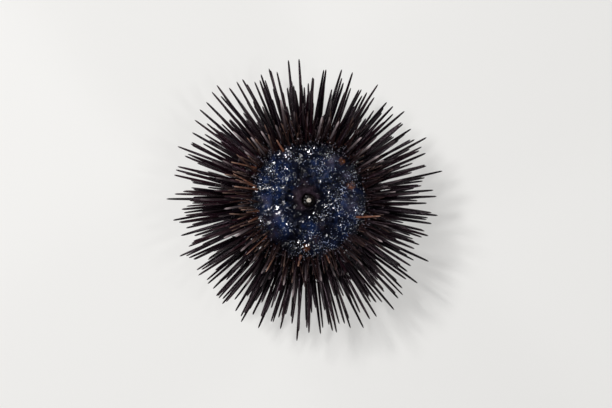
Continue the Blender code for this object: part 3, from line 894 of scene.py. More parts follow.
def joined(name, form, growths, unwrap):
    """Copies of one modelled form, each with its own points, as one mesh with tints and two UV maps."""
    shape = points_of(form)
    low, high = shape[:, 2].min(), shape[:, 2].max()
    along = (shape[:, 2] - low) / (high - low)
    turn = np.arctan2(shape[:, 1], shape[:, 0])
    faces = [list(face.vertices) for face in form.data.polygons]
    corners = np.array([corner for face in faces for corner in face])
    middles = []
    for face in faces:
        centre = shape[face].mean(axis=0)
        middles += [math.atan2(centre[1], centre[0])] * len(face)
    middles = np.array(middles)
    off = (turn[corners] - middles + math.pi) % (2 * math.pi) - math.pi
    own = np.column_stack([(middles + off) / (2 * math.pi), along[corners]])

    count = len(shape)
    points = np.concatenate([growth.points for growth in growths])
    all_faces = []
    for number in range(len(growths)):
        all_faces += [[corner + count * number for corner in face] for face in faces]
    mesh = bpy.data.meshes.new(name)
    mesh.from_pydata(points.tolist(), [], all_faces)
    piece = bpy.data.objects.new(name, mesh)
    bpy.context.scene.collection.objects.link(piece)
    set_attribute(piece, "along", np.tile(along, len(growths)))
    set_attribute(piece, "tint", np.repeat([growth.tint for growth in growths], count))
    set_attribute(piece, "tip", np.repeat([growth.tip for growth in growths], count))

    surface = mesh.uv_layers.new(name="Surface")
    surface.data.foreach_set("uv", np.tile(own, (len(growths), 1)).astype(np.float32).ravel())
    bake = mesh.uv_layers.new(name="OFBake")
    patch = (own - [0, 0.5]) * PATCH
    places = np.repeat([unwrap(growth.root) for growth in growths], len(corners), axis=0)
    bake.data.foreach_set("uv", (np.tile(patch, (len(growths), 1)) + places).astype(np.float32).ravel())
    mesh.uv_layers.active = mesh.uv_layers["Surface"]
    choose(piece)
    bpy.ops.object.shade_smooth()
    remove(form)
    return piece


def turn_to(direction):
    """The 3 by 3 array that turns +Z to that direction."""
    return np.array(Vector((0, 0, 1)).rotation_difference(Vector(direction)).to_matrix())


def placed(shape, root, direction, width, length, turn=0.0):
    """The form's points, as wide and long as asked, turned and grown from the root."""
    return (spun(shape, turn) * [width, width, length]) @ turn_to(direction).T + np.array(root)


def spine_points(shape, spine):
    """The points of one spine: a base of fixed height, then the shaft, pointed or flat on the floor."""
    height = shape[:, 2]
    collar = BASE_HEIGHT - BASE_SUNK
    base = BASE_HEIGHT * (1 + height) - BASE_SUNK
    shaft = collar + height * (spine.length - collar)
    local = np.column_stack([shape[:, :2] * spine.radius * THINNING, np.where(height < 0, base, shaft)])
    is_end = height > 1 - HAIRBREADTH
    if spine.is_foot:
        spread = np.linalg.norm(local[is_end, :2], axis=1)[:, None]
        local[is_end, :2] *= FOOT_RADIUS / spread
    points = local @ turn_to(spine.direction).T + np.array(spine.root)
    if spine.is_foot:
        points[is_end] -= np.outer(points[is_end, 2] / spine.direction.z, spine.direction)
        points[:, 2] = np.maximum(points[:, 2], 0.0)
    return points


def spine_form():
    """One spine as turned: muscle foot, collar, and a shaft that draws in to its tip."""
    profile = [(share, height) for height, share in (*BASE_OUTLINE, *SHAFT_OUTLINE)]
    return turned("spine_form", profile, SPINE_SIDES)


def spines_piece(name, spines, look, unwrap=skin_place):
    """The spines as one mesh. Look gives each its tint and the paleness of its tip."""
    form = spine_form()
    shape = points_of(form)
    growths = []
    for spine in spines:
        tint, tip = look(spine)
        growths.append(Growth(spine_points(shape, spine), spine.root, tint, tip))
    return joined(name, form, growths, unwrap)


def rising(start_and_gain, amount):
    """A starting value plus its gain as far as the amount says, which is from 0 to 1."""
    start, gain = start_and_gain
    return start + gain * amount


def leftness(root):
    """From 0 to 1, how far a root lies towards the lit left side of the mouth."""
    return max(0.0, min(1.0, -root.x / TEST_RADIUS))


def black_look(draw):
    """Most spines are black. Those near the mouth are browner, and on the lit left more brown is painted
    light. Some end pale, in painted sheen and glints.
    """

    def look(spine):
        left = leftness(spine.root)
        nearness = (NEAR_MOUTH - math.hypot(spine.root.x, spine.root.y)) / NEAR_MOUTH_FADE
        oral = max(0.0, min(1.0, nearness)) if spine.root.z > AMBITUS_Z else 0.0
        tint = draw.random() ** 2 * rising(BLACK_TINT_NEAR_MOUTH, oral) * rising(BLACK_TINT_AND_PAINTED_LIGHT_LEFT, left)
        tip = draw.random() ** 2 * rising(BLACK_PAINTED_GLINT_NEAR_MOUTH, oral * rising(BLACK_PAINTED_GLINT_LEFT, left))
        if draw.random() < PAINTED_GLINT_TIP_SHARE * oral:
            tip = BRIGHTEST_PAINTED_GLINT
        return min(1.0, tint), min(BRIGHTEST_PAINTED_GLINT, tip)

    return look


def edge_look(draw):
    """Some of the small edge spines are tan or rusty, more of them on the left. The brown added to the others
    on the lit left is painted light, and their pale tips are painted sheen and glints.
    """

    def look(spine):
        left = leftness(spine.root)
        share = TAN_SHARE + (TAN_SHARE_LEFT - TAN_SHARE) * left
        is_tan = spine.segment == "tan" or draw.random() < share
        tint = draw.uniform(*TAN_TINT) if is_tan else draw.uniform(0.0, rising(EDGE_TINT_AND_PAINTED_LIGHT_LEFT, left))
        tip = draw.random() ** 2 * rising(EDGE_PAINTED_GLINT_LEFT, left)
        return tint, max(tip, TAN_TIP) if is_tan else tip

    return look


def membrane_lumps():
    """Centre, width and height of each soft lump of the membrane, scattered evenly between lip and rim."""
    draw = random.Random(RANDOM_SEED)
    found = []
    golden_turn = math.pi * (3 - math.sqrt(5))
    for number in range(LUMP_COUNT):
        share = (number + 0.5) / LUMP_COUNT
        radius = math.sqrt(LUMP_INNER**2 + share * (MEMBRANE_RADIUS**2 - LUMP_INNER**2))
        turn = number * golden_turn + draw.uniform(-LUMP_TURN, LUMP_TURN)
        place = (radius * math.cos(turn), radius * math.sin(turn))
        found.append((place, draw.uniform(*LUMP_WIDTH), draw.uniform(*LUMP_HEIGHT)))
    return found


def field(places, size, layer=0.0):
    """Soft noise from -1 to 1 over the places, with features of about that size."""
    return np.array([noise.noise(Vector((x / size, y / size, layer))) for x, y in places])


def unevenness(places, strength, size, layer=0.0):
    """Soft noise of that strength over the places."""
    return strength * field(places, size, layer)


def pebbles(places, size, layer=0.5):
    """Close-set low domes over the places, from 0 between them to 1 on top."""
    nearest = [noise.voronoi(Vector((x / size, y / size, layer)))[0][0] for x, y in places]
    return np.clip(1 - (np.array(nearest) / PEBBLE_SPREAD) ** 2, 0, 1)


def patches(places, centres):
    """From 0 to 1, how deep the places lie in soft patches given in millimetres."""
    total = np.zeros(len(places))
    for across, up, size in centres:
        apart = (places[:, 0] - across * MM) ** 2 + (places[:, 1] - up * MM) ** 2
        total += np.exp(-apart / (size * MM) ** 2)
    return np.clip(total, 0, 1)


def uneven_patches(places, centres, strength, unevenly):
    """Soft patches of that strength, with noise in them."""
    return patches(places, centres) * (strength + unevenness(places, *unevenly))


def torn_radius(places):
    """Each place's distance from the mouth, with tears in it that leave no edge round."""
    radius, _ = round_axis(places)
    for layer, (size, depth) in enumerate(TEARS):
        radius -= depth * field(places, size, TEARS_LAYER + layer)
    return radius


def cloudiness(places):
    """From 0 to 1, how blue the membrane is, its own blue with painted sky reflection. The clouds are torn,
    and fade before its edge.
    """
    blue = np.clip(uneven_patches(places, CLOUDS, CLOUD_STRENGTH, CLOUD_NOISE), 0, 1)
    fading = np.clip((CLOUD_EDGE - torn_radius(places)) / CLOUD_FADE, 0, 1)
    return blue * fading * (1 - DARK_UNBLUE * patches(places, DARK))


def smoothness(places):
    """From 0 to 1, how smooth and brown the flesh is: round the mouth, more of it up and to the left."""
    apart = np.hypot(places[:, 0] - SMOOTH_CENTRE[0], places[:, 1] - SMOOTH_CENTRE[1])
    for layer, (size, depth) in enumerate(SMOOTH_TEARS):
        apart -= depth * field(places, size, SMOOTH_LAYER + layer)
    return np.clip(0.5 + (SMOOTH_RADIUS - apart) / SMOOTH_FADE, 0, 1)


def wet_relief(places):
    """The relief of wet flesh: wrinkles of several sizes and close-set pebbles."""
    rough = np.zeros(len(places))
    for layer, (size, depth) in enumerate(WRINKLES):
        rough += depth * field(places, size, layer)
    for size, depth in PEBBLES:
        rough += depth * pebbles(places, size)
    return rough


def membrane_height(places):
    """The membrane's height: a low cone with folds, lumps, wrinkles and pebbles, tucked in under the lip."""
    radius, azimuth = round_axis(places)
    share = np.clip(1 - radius / MEMBRANE_RADIUS, 0, 1)
    height = UPPER_SEAT + MEMBRANE_RIM + MEMBRANE_RISE * np.sin(share * math.pi / 2)
    raised = FOLD_HEIGHT * np.cos(2 * SYMMETRY * azimuth + math.pi * SYMMETRY) * radius / MEMBRANE_RADIUS
    for (across, up), width, lump in membrane_lumps():
        apart = (places[:, 0] - across) ** 2 + (places[:, 1] - up) ** 2
        raised += lump * np.exp(-apart / (width * width))
    height += raised * np.clip((MEMBRANE_RADIUS - radius) / MEMBRANE_FLAT_RIM, 0, 1)
    tucked = np.clip((MEMBRANE_TUCK_FROM - radius) / (MEMBRANE_TUCK_FROM - MEMBRANE_INNER), 0, 1)
    height -= MEMBRANE_TUCK * tucked**2
    return height + wet_relief(places) * np.clip((radius - MEMBRANE_INNER) / MM, RELIEF_FLOOR, 1)


def membrane_stand(places):
    """Roots on the membrane at those places, and which way its surface faces there."""
    height = membrane_height(places)
    slope_x = (membrane_height(places + [SLOPE_STEP, 0]) - height) / SLOPE_STEP
    slope_y = (membrane_height(places + [0, SLOPE_STEP]) - height) / SLOPE_STEP
    facing = unit(np.column_stack([-slope_x, -slope_y, np.ones(len(places))]))
    return np.column_stack([places, height]), facing


def set_marks(piece, points):
    """Stores where the flesh is blue (its own blue with painted sky reflection), milky, brown, rusty and
    glistening. The sheen ends among the spines.
    """
    places = points[:, :2]
    is_oral = points[:, 2] > AMBITUS_Z
    sheen = np.clip((SHEEN_EDGE - torn_radius(places)) / SHEEN_FADE, 0, 1) * is_oral
    milk = np.clip(uneven_patches(places, MILK, MILK_STRENGTH, MILK_NOISE), 0, 1)
    rust = np.clip(uneven_patches(places, RUST, RUST_STRENGTH, RUST_NOISE) - RUST_LOSS, 0, 1)
    brown = np.clip(uneven_patches(places, BROWN, BROWN_STRENGTH, BROWN_NOISE), 0, 1)
    brown = np.maximum(brown, smoothness(places))
    glitter = GLITTER_ALL_OVER + patches(places, GLITTER) * GLITTER_STRENGTH
    glitter += unevenness(places, *GLITTER_NOISE)
    glitter = np.clip(glitter * (1 - DARK_DULLS * patches(places, DARK)) * sheen, DULL_SHEEN, 1)
    marks = {
        "cloud": cloudiness(places) * is_oral,
        "milk": milk * is_oral,
        "brown": brown * is_oral,
        "rust": rust * is_oral,
        "glitter": glitter * (1 - brown),
    }
    for name, values in marks.items():
        set_attribute(piece, name, values)


def mouth_membrane():
    """The wet membrane: a ring with a wrinkled top, run in under the lip and down over the skin's edge."""
    rim = UPPER_SEAT + MEMBRANE_RIM
    top = []
    for ring in range(MEMBRANE_RINGS + 1):
        share = ring / MEMBRANE_RINGS
        top.append((MEMBRANE_RADIUS + (MEMBRANE_INNER - MEMBRANE_RADIUS) * share, rim))
    skirt = []
    for out, up in SKIRT_OUTLINE:
        skirt.append((MEMBRANE_SKIRT + out * MM, UPPER_SEAT + up * MEMBRANE_RIM))
    low = UPPER_SEAT - MEMBRANE_SUNK
    profile = [*skirt, *top, (MEMBRANE_INNER, low), (MEMBRANE_UNDERSIDE, low), skirt[0]]
    piece = turned("mouth_membrane", profile, MEMBRANE_STEPS, solid=False)
    points = points_of(piece)
    is_top = points[:, 2] > UPPER_SEAT + MEMBRANE_RIM * 0.5
    points[is_top, 2] += membrane_height(points[is_top, :2]) - rim
    radius, turn = round_axis(points)
    ring = np.column_stack([np.cos(turn), np.sin(turn)]) * TEST_RADIUS
    wander = EDGE_WANDER * sum(field(ring, size) for size in EDGE_WANDER_SIZES)
    share = np.clip((radius - EDGE_WANDER_FROM) / (MEMBRANE_SKIRT - EDGE_WANDER_FROM), 0, 1)
    points[:, :2] *= (1 + wander * share / radius)[:, None]
    set_points(piece, points)
    set_marks(piece, points)
    return piece


def suture_depth(points):
    """How far the skin sinks along the ten seams between wedges and across each row of plates."""
    radius, azimuth = round_axis(points)
    nearest = np.full(len(points), TEST_RADIUS)
    for segment in SEGMENTS:
        apart = np.abs((azimuth - segment.middle + math.pi) % (2 * math.pi) - math.pi)
        nearest = np.minimum(nearest, np.abs(apart - segment.half) * radius)
    row = np.cos(2 * math.pi * (points[:, 2] - AMBITUS_Z) / ROW_PITCH)
    seam = PLATE_SEAM_DEPTH * np.clip(row - PLATE_SEAM_FROM, 0, 1)
    return SUTURE_DEPTH * np.exp(-((nearest / SUTURE_WIDTH) ** 2)) + seam


def test_skin():
    """The skin of the test: a globe flatter above than below, cut level at both poles, with sunk seams."""
    deselect()
    bpy.ops.mesh.primitive_uv_sphere_add(
        segments=SKIN_STEPS, ring_count=SKIN_RINGS, radius=TEST_RADIUS, location=(0, 0, AMBITUS_Z)
    )
    piece = named(bpy.context.object, "test_skin")
    apply_place(piece)
    edit(piece)
    middle = (0, 0, AMBITUS_Z)
    halves = (
        (lambda place: place.z > AMBITUS_Z + HAIRBREADTH, ORAL_HEIGHT),
        (lambda place: place.z < AMBITUS_Z - HAIRBREADTH, ABORAL_HEIGHT),
    )
    for is_half, height in halves:
        pick(piece, is_half)
        bpy.ops.transform.resize(value=(1, 1, height / TEST_RADIUS), center_override=middle)
    top, bottom = UPPER_SEAT - TOUCHING_GAP, LOWER_SEAT + TOUCHING_GAP
    for level, is_top in ((top, True), (bottom, False)):
        bpy.ops.mesh.select_all(action="SELECT")
        bpy.ops.mesh.bisect(
            plane_co=(0, 0, level), plane_no=(0, 0, 1), use_fill=True,
            clear_outer=is_top, clear_inner=not is_top, threshold=HAIRBREADTH,
        )
    leave_edit()
    close_shell(piece)
    points = points_of(piece)
    is_wall = (points[:, 2] < top - HAIRBREADTH) & (points[:, 2] > bottom + HAIRBREADTH)
    rough = np.array([noise.noise(Vector(point) / SKIN_LUMP_SIZE) for point in points]) * SKIN_LUMP
    height = np.where(points[:, 2] > AMBITUS_Z, ORAL_HEIGHT, ABORAL_HEIGHT)
    facing = np.column_stack(
        [points[:, 0] / TEST_RADIUS**2, points[:, 1] / TEST_RADIUS**2, (points[:, 2] - AMBITUS_Z) / height**2]
    )
    points += unit(facing) * ((rough - suture_depth(points)) * is_wall)[:, None]
    set_points(piece, points)
    set_marks(piece, points)
    return piece


def bead_form():
    """One low rounded granule, its foot sunk."""
    profile = ((0.75, -0.4), (1.0, 0.1), (0.86, 0.6), (0.45, 0.93))
    return turned("bead_form", profile, FORM_SIDES)


def finger_form():
    """One gill finger, knobbly along its length and round at its end."""
    profile = ((1.1, -0.15), (0.75, 0.2), (1.05, 0.42), (0.7, 0.6), (1.0, 0.8), (0.75, 0.94), (0.3, 1.0))
    return turned("finger_form", profile, FORM_SIDES)


def sucker_form(sides):
    """One tube foot: a wrinkled stalk that widens to a flat sucker with a dimple."""
    profile = [
        (1.3, -0.1), (0.95, 0.08), (1.08, 0.2), (0.84, 0.34), (0.96, 0.48),
        (0.76, 0.62), (0.88, 0.74), (0.80, 0.84), (1.65, 0.90), (1.85, 0.95), (1.5, 1.0), (0.6, 0.975),
    ]
    return turned("sucker_form", profile, sides)


def nipper_form():
    """One pedicellaria: a thin stalk with a head of three closed jaws."""
    profile = ((1.2, -0.05), (0.9, 0.4), (0.9, 0.72), (2.6, 0.80), (3.0, 0.89), (1.0, 1.0))
    piece = turned("nipper_form", profile, FORM_SIDES)
    third = 2 * math.pi / 3

    def is_notch(place):
        share = (math.atan2(place.y, place.x) / third + 0.5) % 1 - 0.5
        return place.z > NIPPER_HEAD and abs(share) > NIPPER_JAW_HALF

    edit(piece)
    pick(piece, is_notch)
    bpy.ops.transform.resize(value=(NIPPER_NOTCH, NIPPER_NOTCH, 1), center_override=(0, 0, 0))
    leave_edit()
    return piece


def disc_places(draw, count, zones, background):
    """Random places on the membrane, crowded in the zones and fewest in its dark patches."""
    inner, outer = GRANULE_RING
    found = []
    while len(found) < count:
        radius = math.sqrt(draw.uniform(inner**2, outer**2))
        turn = draw.uniform(-math.pi, math.pi)
        place = (radius * math.cos(turn), radius * math.sin(turn))
        spot = np.array([place])
        chance = (background + patches(spot, zones)[0]) * (1 - DARK_SPARES * patches(spot, DARK)[0])
        if draw.random() < chance:
            found.append(place)
    return np.array(found)


def granules_piece(name, count, zones, background, widths, tints, seed):
    """Wet granules on the membrane, each facing as the surface does."""
    draw = random.Random(FORM_SEED + seed)
    form = bead_form()
    shape = points_of(form)
    places = disc_places(draw, count, zones, background)
    roots, facing = membrane_stand(places)
    clouds = cloudiness(places)
    growths = []
    for root, way, cloud in zip(roots, facing, clouds):
        width = draw.uniform(*widths)
        length = draw.uniform(*GRANULE_HEIGHT) * width / widths[1]
        tint = min(1.0, draw.uniform(*tints) * rising(CLOUDED_TINT, cloud))
        growths.append(Growth(placed(shape, root, way, width, length), Vector(root), tint))
    return joined(name, form, growths, membrane_place)


def skin_granules():
    """Granules on the skin round the membrane's edge, between the first spines."""
    draw = random.Random(FORM_SEED + 2)
    form = bead_form()
    shape = points_of(form)
    start = outline_angle(SKIN_GRANULE_START)
    growths = []
    for _ in range(SKIN_GRANULES):
        angle = start + (SKIN_GRANULE_REACH - start) * draw.random() ** SKIN_GRANULE_CROWDING
        azimuth = draw.uniform(-math.pi, math.pi)
        root = skin_root(angle, azimuth)
        way = pointing(outline_normal(angle), azimuth)
        width = draw.uniform(*SKIN_GRANULE_WIDTH)
        points = placed(shape, root, way, width, width * draw.uniform(*SKIN_GRANULE_RISE))
        growths.append(Growth(points, root, draw.random() ** 2))
    return joined("skin_granules", form, growths, skin_place)


def gill_tufts():
    """Ten bushy gills in five pairs, in the notches of the shell's edge: knobbly fingers from one cushion."""
    draw = random.Random(FORM_SEED + 3)
    form = finger_form()
    shape = points_of(form)
    growths = []
    for middle in pair_azimuths(GILL_TURN):
        for _ in range(GILL_FINGERS):
            turn = draw.uniform(0, 2 * math.pi)
            spread = math.sqrt(draw.random())
            out = GILL_SPREAD_OUT * spread * math.cos(turn)
            aside = GILL_SPREAD_SIDE * spread * math.sin(turn)
            radius = GILL_RING + out
            azimuth = middle + aside / radius
            root = ring_place(radius, azimuth, UPPER_SEAT + MEMBRANE_RIM * rising(GILL_CUSHION, spread))
            upright, outward = GILL_LEAN
            lean = upright + outward * out / GILL_SPREAD_OUT
            way = pointing(lean, azimuth + GILL_FAN * aside / GILL_SPREAD_SIDE)
            length = draw.uniform(*GILL_FINGER_LENGTH) * rising(GILL_SHORTENING, spread)
            points = placed(shape, root, way, draw.uniform(*GILL_FINGER_RADIUS), length, turn)
            growths.append(Growth(points, root, draw.random()))
    return joined("gill_tufts", form, growths, membrane_place)


def buccal_feet():
    """The ten stout tube feet round the lip, in five pairs, each with its sucker."""
    draw = random.Random(FORM_SEED + 4)
    form = sucker_form(BUCCAL_FOOT_SIDES)
    shape = points_of(form)
    growths = []
    for azimuth in pair_azimuths(BUCCAL_FOOT_TURN):
        flat = ring_place(BUCCAL_FOOT_RING, azimuth, 0)
        roots, _ = membrane_stand(np.array([flat.xy]))
        lean = draw.uniform(*BUCCAL_FOOT_LEAN)
        way = pointing(lean, azimuth + draw.uniform(-BUCCAL_FOOT_SWING, BUCCAL_FOOT_SWING))
        length = BUCCAL_FOOT_HEIGHT * draw.uniform(*BUCCAL_LENGTH_VARIES)
        radius = BUCCAL_FOOT_RADIUS * draw.uniform(*BUCCAL_RADIUS_VARIES)
        points = placed(shape, roots[0], way, radius, length)
        growths.append(Growth(points, Vector(roots[0]), draw.random()))
    return joined("buccal_feet", form, growths, membrane_place)


def bent(shape, width, length, bend):
    """The form scaled to its size and bent sideways, more towards its end."""
    local = shape * [width, width, length]
    local[:, 0] += bend * length * np.clip(shape[:, 2], 0, 1) ** 2
    return local


def tube_feet():
    """Slender tube feet in two files down each ambulacrum, among the spines."""
    draw = random.Random(FORM_SEED + 5)
    form = sucker_form(FORM_SIDES)
    shape = points_of(form)
    growths = []
    angle = outline_angle(FIRST_ROW_RADIUS)
    last = outline_angle(LAST_ROW_RADIUS, below=True)
    while angle < last:
        for file_azimuth in pair_azimuths(TUBE_FOOT_TURN):
            azimuth = file_azimuth + draw.uniform(-TUBE_FOOT_SHIFT, TUBE_FOOT_SHIFT)
            root = skin_root(angle, azimuth)
            polar = outline_normal(angle) + draw.uniform(-TUBE_FOOT_SWAY, TUBE_FOOT_SWAY)
            way = pointing(polar, azimuth + draw.uniform(-TUBE_FOOT_SWAY, TUBE_FOOT_SWAY))
            bend = draw.uniform(-TUBE_FOOT_BEND, TUBE_FOOT_BEND)
            length = draw.uniform(*TUBE_FOOT_LENGTH)
            local = bent(shape, draw.uniform(*TUBE_FOOT_RADIUS), length, bend)
            points = local @ turn_to(way).T + np.array(root)
            if points[:, 2].min() > TUBE_FOOT_CLEARANCE:
                growths.append(Growth(points, root, draw.random()))
        angle += TUBE_FOOT_PITCH / MEAN_RADIUS
    return joined("tube_feet", form, growths, skin_place)


def nippers():
    """Pedicellariae all over the skin, and thickest round the mouth."""
    draw = random.Random(FORM_SEED + 6)
    form = nipper_form()
    shape = points_of(form)
    start = outline_angle(PERISTOME_RADIUS)
    last = outline_angle(LAST_ROW_RADIUS, below=True)
    growths = []
    for _ in range(NIPPERS):
        angle = start + (last - start) * draw.random() ** NIPPER_CROWDING
        azimuth = draw.uniform(-math.pi, math.pi)
        root = skin_root(angle, azimuth)
        polar = outline_normal(angle) + draw.uniform(-NIPPER_LEAN, NIPPER_LEAN)
        way = pointing(polar, azimuth + draw.uniform(-NIPPER_SWAY, NIPPER_SWAY))
        points = placed(shape, root, way, NIPPER_RADIUS, draw.uniform(*NIPPER_LENGTH), draw.uniform(0, 6))
        growths.append(Growth(points, root, draw.random()))
    return joined("nippers", form, growths, skin_place)


def lip():
    """The soft round lip: a low cone that folds in to the mouth, with fine pleats."""
    profile = []
    for step in range(LIP_ARCH_STEPS + 1):
        out = 1 - step / LIP_ARCH_STEPS
        height = LIP_OUTER_BASE + (LIP_TOP - LIP_OUTER_BASE) * (1 + math.cos(math.pi * out)) / 2
        profile.append((LIP_MIDDLE + LIP_OUT * out, UPPER_SEAT + height))
    for step in range(1, LIP_ARCH_STEPS + 1):
        angle = math.pi / 2 * step / LIP_ARCH_STEPS
        height = LIP_INNER_BASE + (LIP_TOP - LIP_INNER_BASE) * math.cos(angle)
        profile.append((LIP_MIDDLE - LIP_IN * math.sin(angle), UPPER_SEAT + height))
    low = UPPER_SEAT + TOUCHING_GAP
    profile += [(LIP_MIDDLE - LIP_IN, low), (LIP_MIDDLE + LIP_OUT, low), profile[0]]
    piece = turned("lip", profile, LIP_STEPS, solid=False)
    points = points_of(piece)
    radius, turn = round_axis(points)
    places = points[:, :2]
    is_free = points[:, 2] > UPPER_SEAT + LIP_INNER_BASE
    fade_from, fade_over = LIP_PLEAT_FADE
    strength = np.clip(fade_from - radius / fade_over, LIP_PLEAT_FAINTEST, 1)
    pleat = np.cos(LIP_PLEATS * turn + unevenness(places, *LIP_PLEAT_NOISE)) * strength
    soft = unevenness(places, *LIP_SWELL) + unevenness(places, *LIP_FINE_SWELL)
    rough = LIP_ROUGHNESS * wet_relief(places) * (1 - smoothness(places))
    points[:, 2] += (LIP_PLEAT_DEPTH * pleat + soft + rough) * is_free
    out = LIP_PLEAT_DEPTH * pleat + unevenness(places, *LIP_WANDER)
    points[:, :2] *= (1 + out * is_free / radius)[:, None]
    outward = np.clip((radius - LIP_MIDDLE) / LIP_OUT, 0, 1) ** 2 * is_free
    points[:, 2] += outward * (membrane_height(places) - LIP_SUNK - points[:, 2])
    set_points(piece, points)
    set_marks(piece, points)
    return piece


def jaw_flesh():
    """The dark flesh that fills the mouth round the teeth, in five soft folds."""
    profile = [(radius * MM, UPPER_SEAT + height * MM) for radius, height in JAW_OUTLINE]
    piece = turned("jaw_flesh", profile, JAW_STEPS)
    points = points_of(piece)
    radius, turn = round_axis(points)
    fold = np.cos(SYMMETRY * (turn - FIRST_AMBULACRUM)) * np.clip(1 - radius / JAW_RADIUS, 0, 1)
    points[:, 2] += JAW_FOLD * fold + unevenness(points[:, :2], *JAW_NOISE)
    set_points(piece, points)
    return piece


def tooth_form():
    """One tooth: a blade that narrows to a chisel, with a keel on its outer side."""
    deselect()
    bpy.ops.mesh.primitive_cube_add(size=1.0, location=(0, 0, 0.5))
    piece = named(bpy.context.object, "tooth_form")
    apply_place(piece)
    edit(piece)
    bpy.ops.mesh.subdivide(number_cuts=TOOTH_CUTS)
    for low, high, shares, towards in TOOTH_NARROWS:
        pick(piece, lambda place: low < place.z < high)
        bpy.ops.transform.resize(value=shares, center_override=towards)
    pick(piece, lambda place: place.x > TOOTH_OUTER and abs(place.y) < TOOTH_KEEL_HALF)
    bpy.ops.transform.translate(value=(TOOTH_KEEL, 0, 0))
    leave_edit()
    apply_modifier(piece, "SUBSURF", levels=1, render_levels=1)
    close_shell(piece)
    return piece


def teeth():
    """The five teeth, their tips together in the middle of the mouth."""
    form = tooth_form()
    shape = points_of(form)
    thickness, width, height = TOOTH_SIZE
    growths = []
    for number in range(SYMMETRY):
        azimuth = FIRST_AMBULACRUM + math.pi / SYMMETRY + number * 2 * math.pi / SYMMETRY
        local = shape * [thickness, width, height]
        local[:, 0] += TOOTH_RING - TOOTH_LEAN * shape[:, 2]
        points = spun(local, azimuth)
        points[:, 2] += UPPER_SEAT + TOOTH_TOP - height
        growths.append(Growth(points, ring_place(TOOTH_RING, azimuth, UPPER_SEAT), number / SYMMETRY))
    return joined("teeth", form, growths, membrane_place)


def plate_form(sides, has_pore):
    """One shell plate with rounded edges, and with a pore in its middle if asked."""
    profile = [(0.90, -0.6), (0.98, 0.0), (1.0, 0.4), (0.94, 0.8), (0.78, 1.0)]
    if has_pore:
        profile += [(0.32, 1.1), (0.22, 1.0), (0.17, 0.4)]
    return turned("plate_form", profile, sides)


def plates_piece(plates):
    """A ring of like plates under the lower pole."""
    form = plate_form(plates.sides, plates.has_pore)
    shape = points_of(form)
    growths = []
    for number in range(plates.count):
        azimuth = plates.start + number * 2 * math.pi / plates.count
        root = ring_place(plates.ring, azimuth, LOWER_SEAT - plates.depth)
        way = ring_place(PLATE_TILT * plates.ring / GENITAL_RING, azimuth, -1)
        points = placed(shape, root, way.normalized(), plates.plate_radius, PLATE_THICKNESS, -azimuth)
        growths.append(Growth(points, root, number / plates.count))
    return joined(plates.name, form, growths, skin_place)


def apical_base():
    """The low disc of shell that carries the plates of the lower pole."""
    profile = [(radius * MM, LOWER_SEAT + height * MM) for radius, height in APICAL_BASE_OUTLINE]
    return turned("apical_base", profile, APICAL_STEPS)


def feed(tree, made, inputs):
    """Links each of the node's inputs to a socket, or sets its value."""
    for name, value in inputs.items():
        if isinstance(value, bpy.types.NodeSocket):
            tree.links.new(value, made.inputs[name])
        else:
            made.inputs[name].default_value = value


def add_node(tree, kind, inputs=None, **settings):
    """A shader node with its settings. Its inputs are linked or set."""
    made = tree.nodes.new("ShaderNode" + kind)
    for name, value in settings.items():
        setattr(made, name, value)
    feed(tree, made, inputs or {})
    return made


def mix_colour(tree, factor, first, second):
    """The two colours mixed by the factor, each a socket or a value."""
    mixed = add_node(tree, "Mix", {0: factor, 6: first, 7: second}, data_type="RGBA")
    return mixed.outputs[2]


def between(tree, value, low, high, to_low=0.0, to_high=1.0):
    """The value stretched from low and high to the two new limits, and held there."""
    inputs = {"Value": value, "From Min": low, "From Max": high, "To Min": to_low, "To Max": to_high}
    return add_node(tree, "MapRange", inputs).outputs["Result"]


def reckon(tree, operation, first, second=0.0, third=0.0):
    """One sum with numbers or sockets."""
    return add_node(tree, "Math", {0: first, 1: second, 2: third}, operation=operation).outputs[0]


def attribute(tree, name):
    """A number stored on the piece's points."""
    return add_node(tree, "Attribute", attribute_name=name).outputs["Fac"]


def object_place(tree):
    """The place on the piece, in metres."""
    return add_node(tree, "TexCoord").outputs["Object"]


def bump(tree, height, distance, strength=1.0):
    """The normal of that relief, at that many metres for a height of 1."""
    inputs = {"Height": height, "Distance": distance, "Strength": strength}
    return add_node(tree, "Bump", inputs).outputs["Normal"]


def colour(red, green, blue):
    """A colour with full alpha."""
    return (red, green, blue, 1.0)


def new_group(name, inputs, outputs):
    """An empty shader group with its input and output sockets, each a name and a kind."""
    tree = bpy.data.node_groups.new(name, "ShaderNodeTree")
    for way, sockets in (("INPUT", inputs), ("OUTPUT", outputs)):
        for label, kind in sockets.items():
            tree.interface.new_socket(name=label, in_out=way, socket_type="NodeSocket" + kind)
    return tree, tree.nodes.new("NodeGroupInput").outputs, tree.nodes.new("NodeGroupOutput").inputs


def wet_mottle_group():
    """Soft patches of two colours with finer flecks of a third, and the relief that goes with them."""
    tree, given, result = new_group(
        "wet_mottle",
        {"Place": "Vector", "Scale": "Float", "Dark": "Color", "Light": "Color", "Fleck": "Color"},
        {"Color": "Color", "Height": "Float"},
    )
    broad = add_node(tree, "TexNoise", {"Vector": given["Place"], "Scale": given["Scale"], "Detail": 3.0})
    finer = reckon(tree, "MULTIPLY", given["Scale"], FLECKS_FINER)
    fine = add_node(tree, "TexNoise", {"Vector": given["Place"], "Scale": finer, "Detail": 4.0})
    patchy = between(tree, broad.outputs["Fac"], *MOTTLE_PATCHES)
    flecks = between(tree, fine.outputs["Fac"], *MOTTLE_FLECKS)
    two = mix_colour(tree, patchy, given["Dark"], given["Light"])
    tree.links.new(mix_colour(tree, flecks, two, given["Fleck"]), result["Color"])
    relief = reckon(tree, "ADD", fine.outputs["Fac"], broad.outputs["Fac"])
    tree.links.new(relief, result["Height"])
    return tree


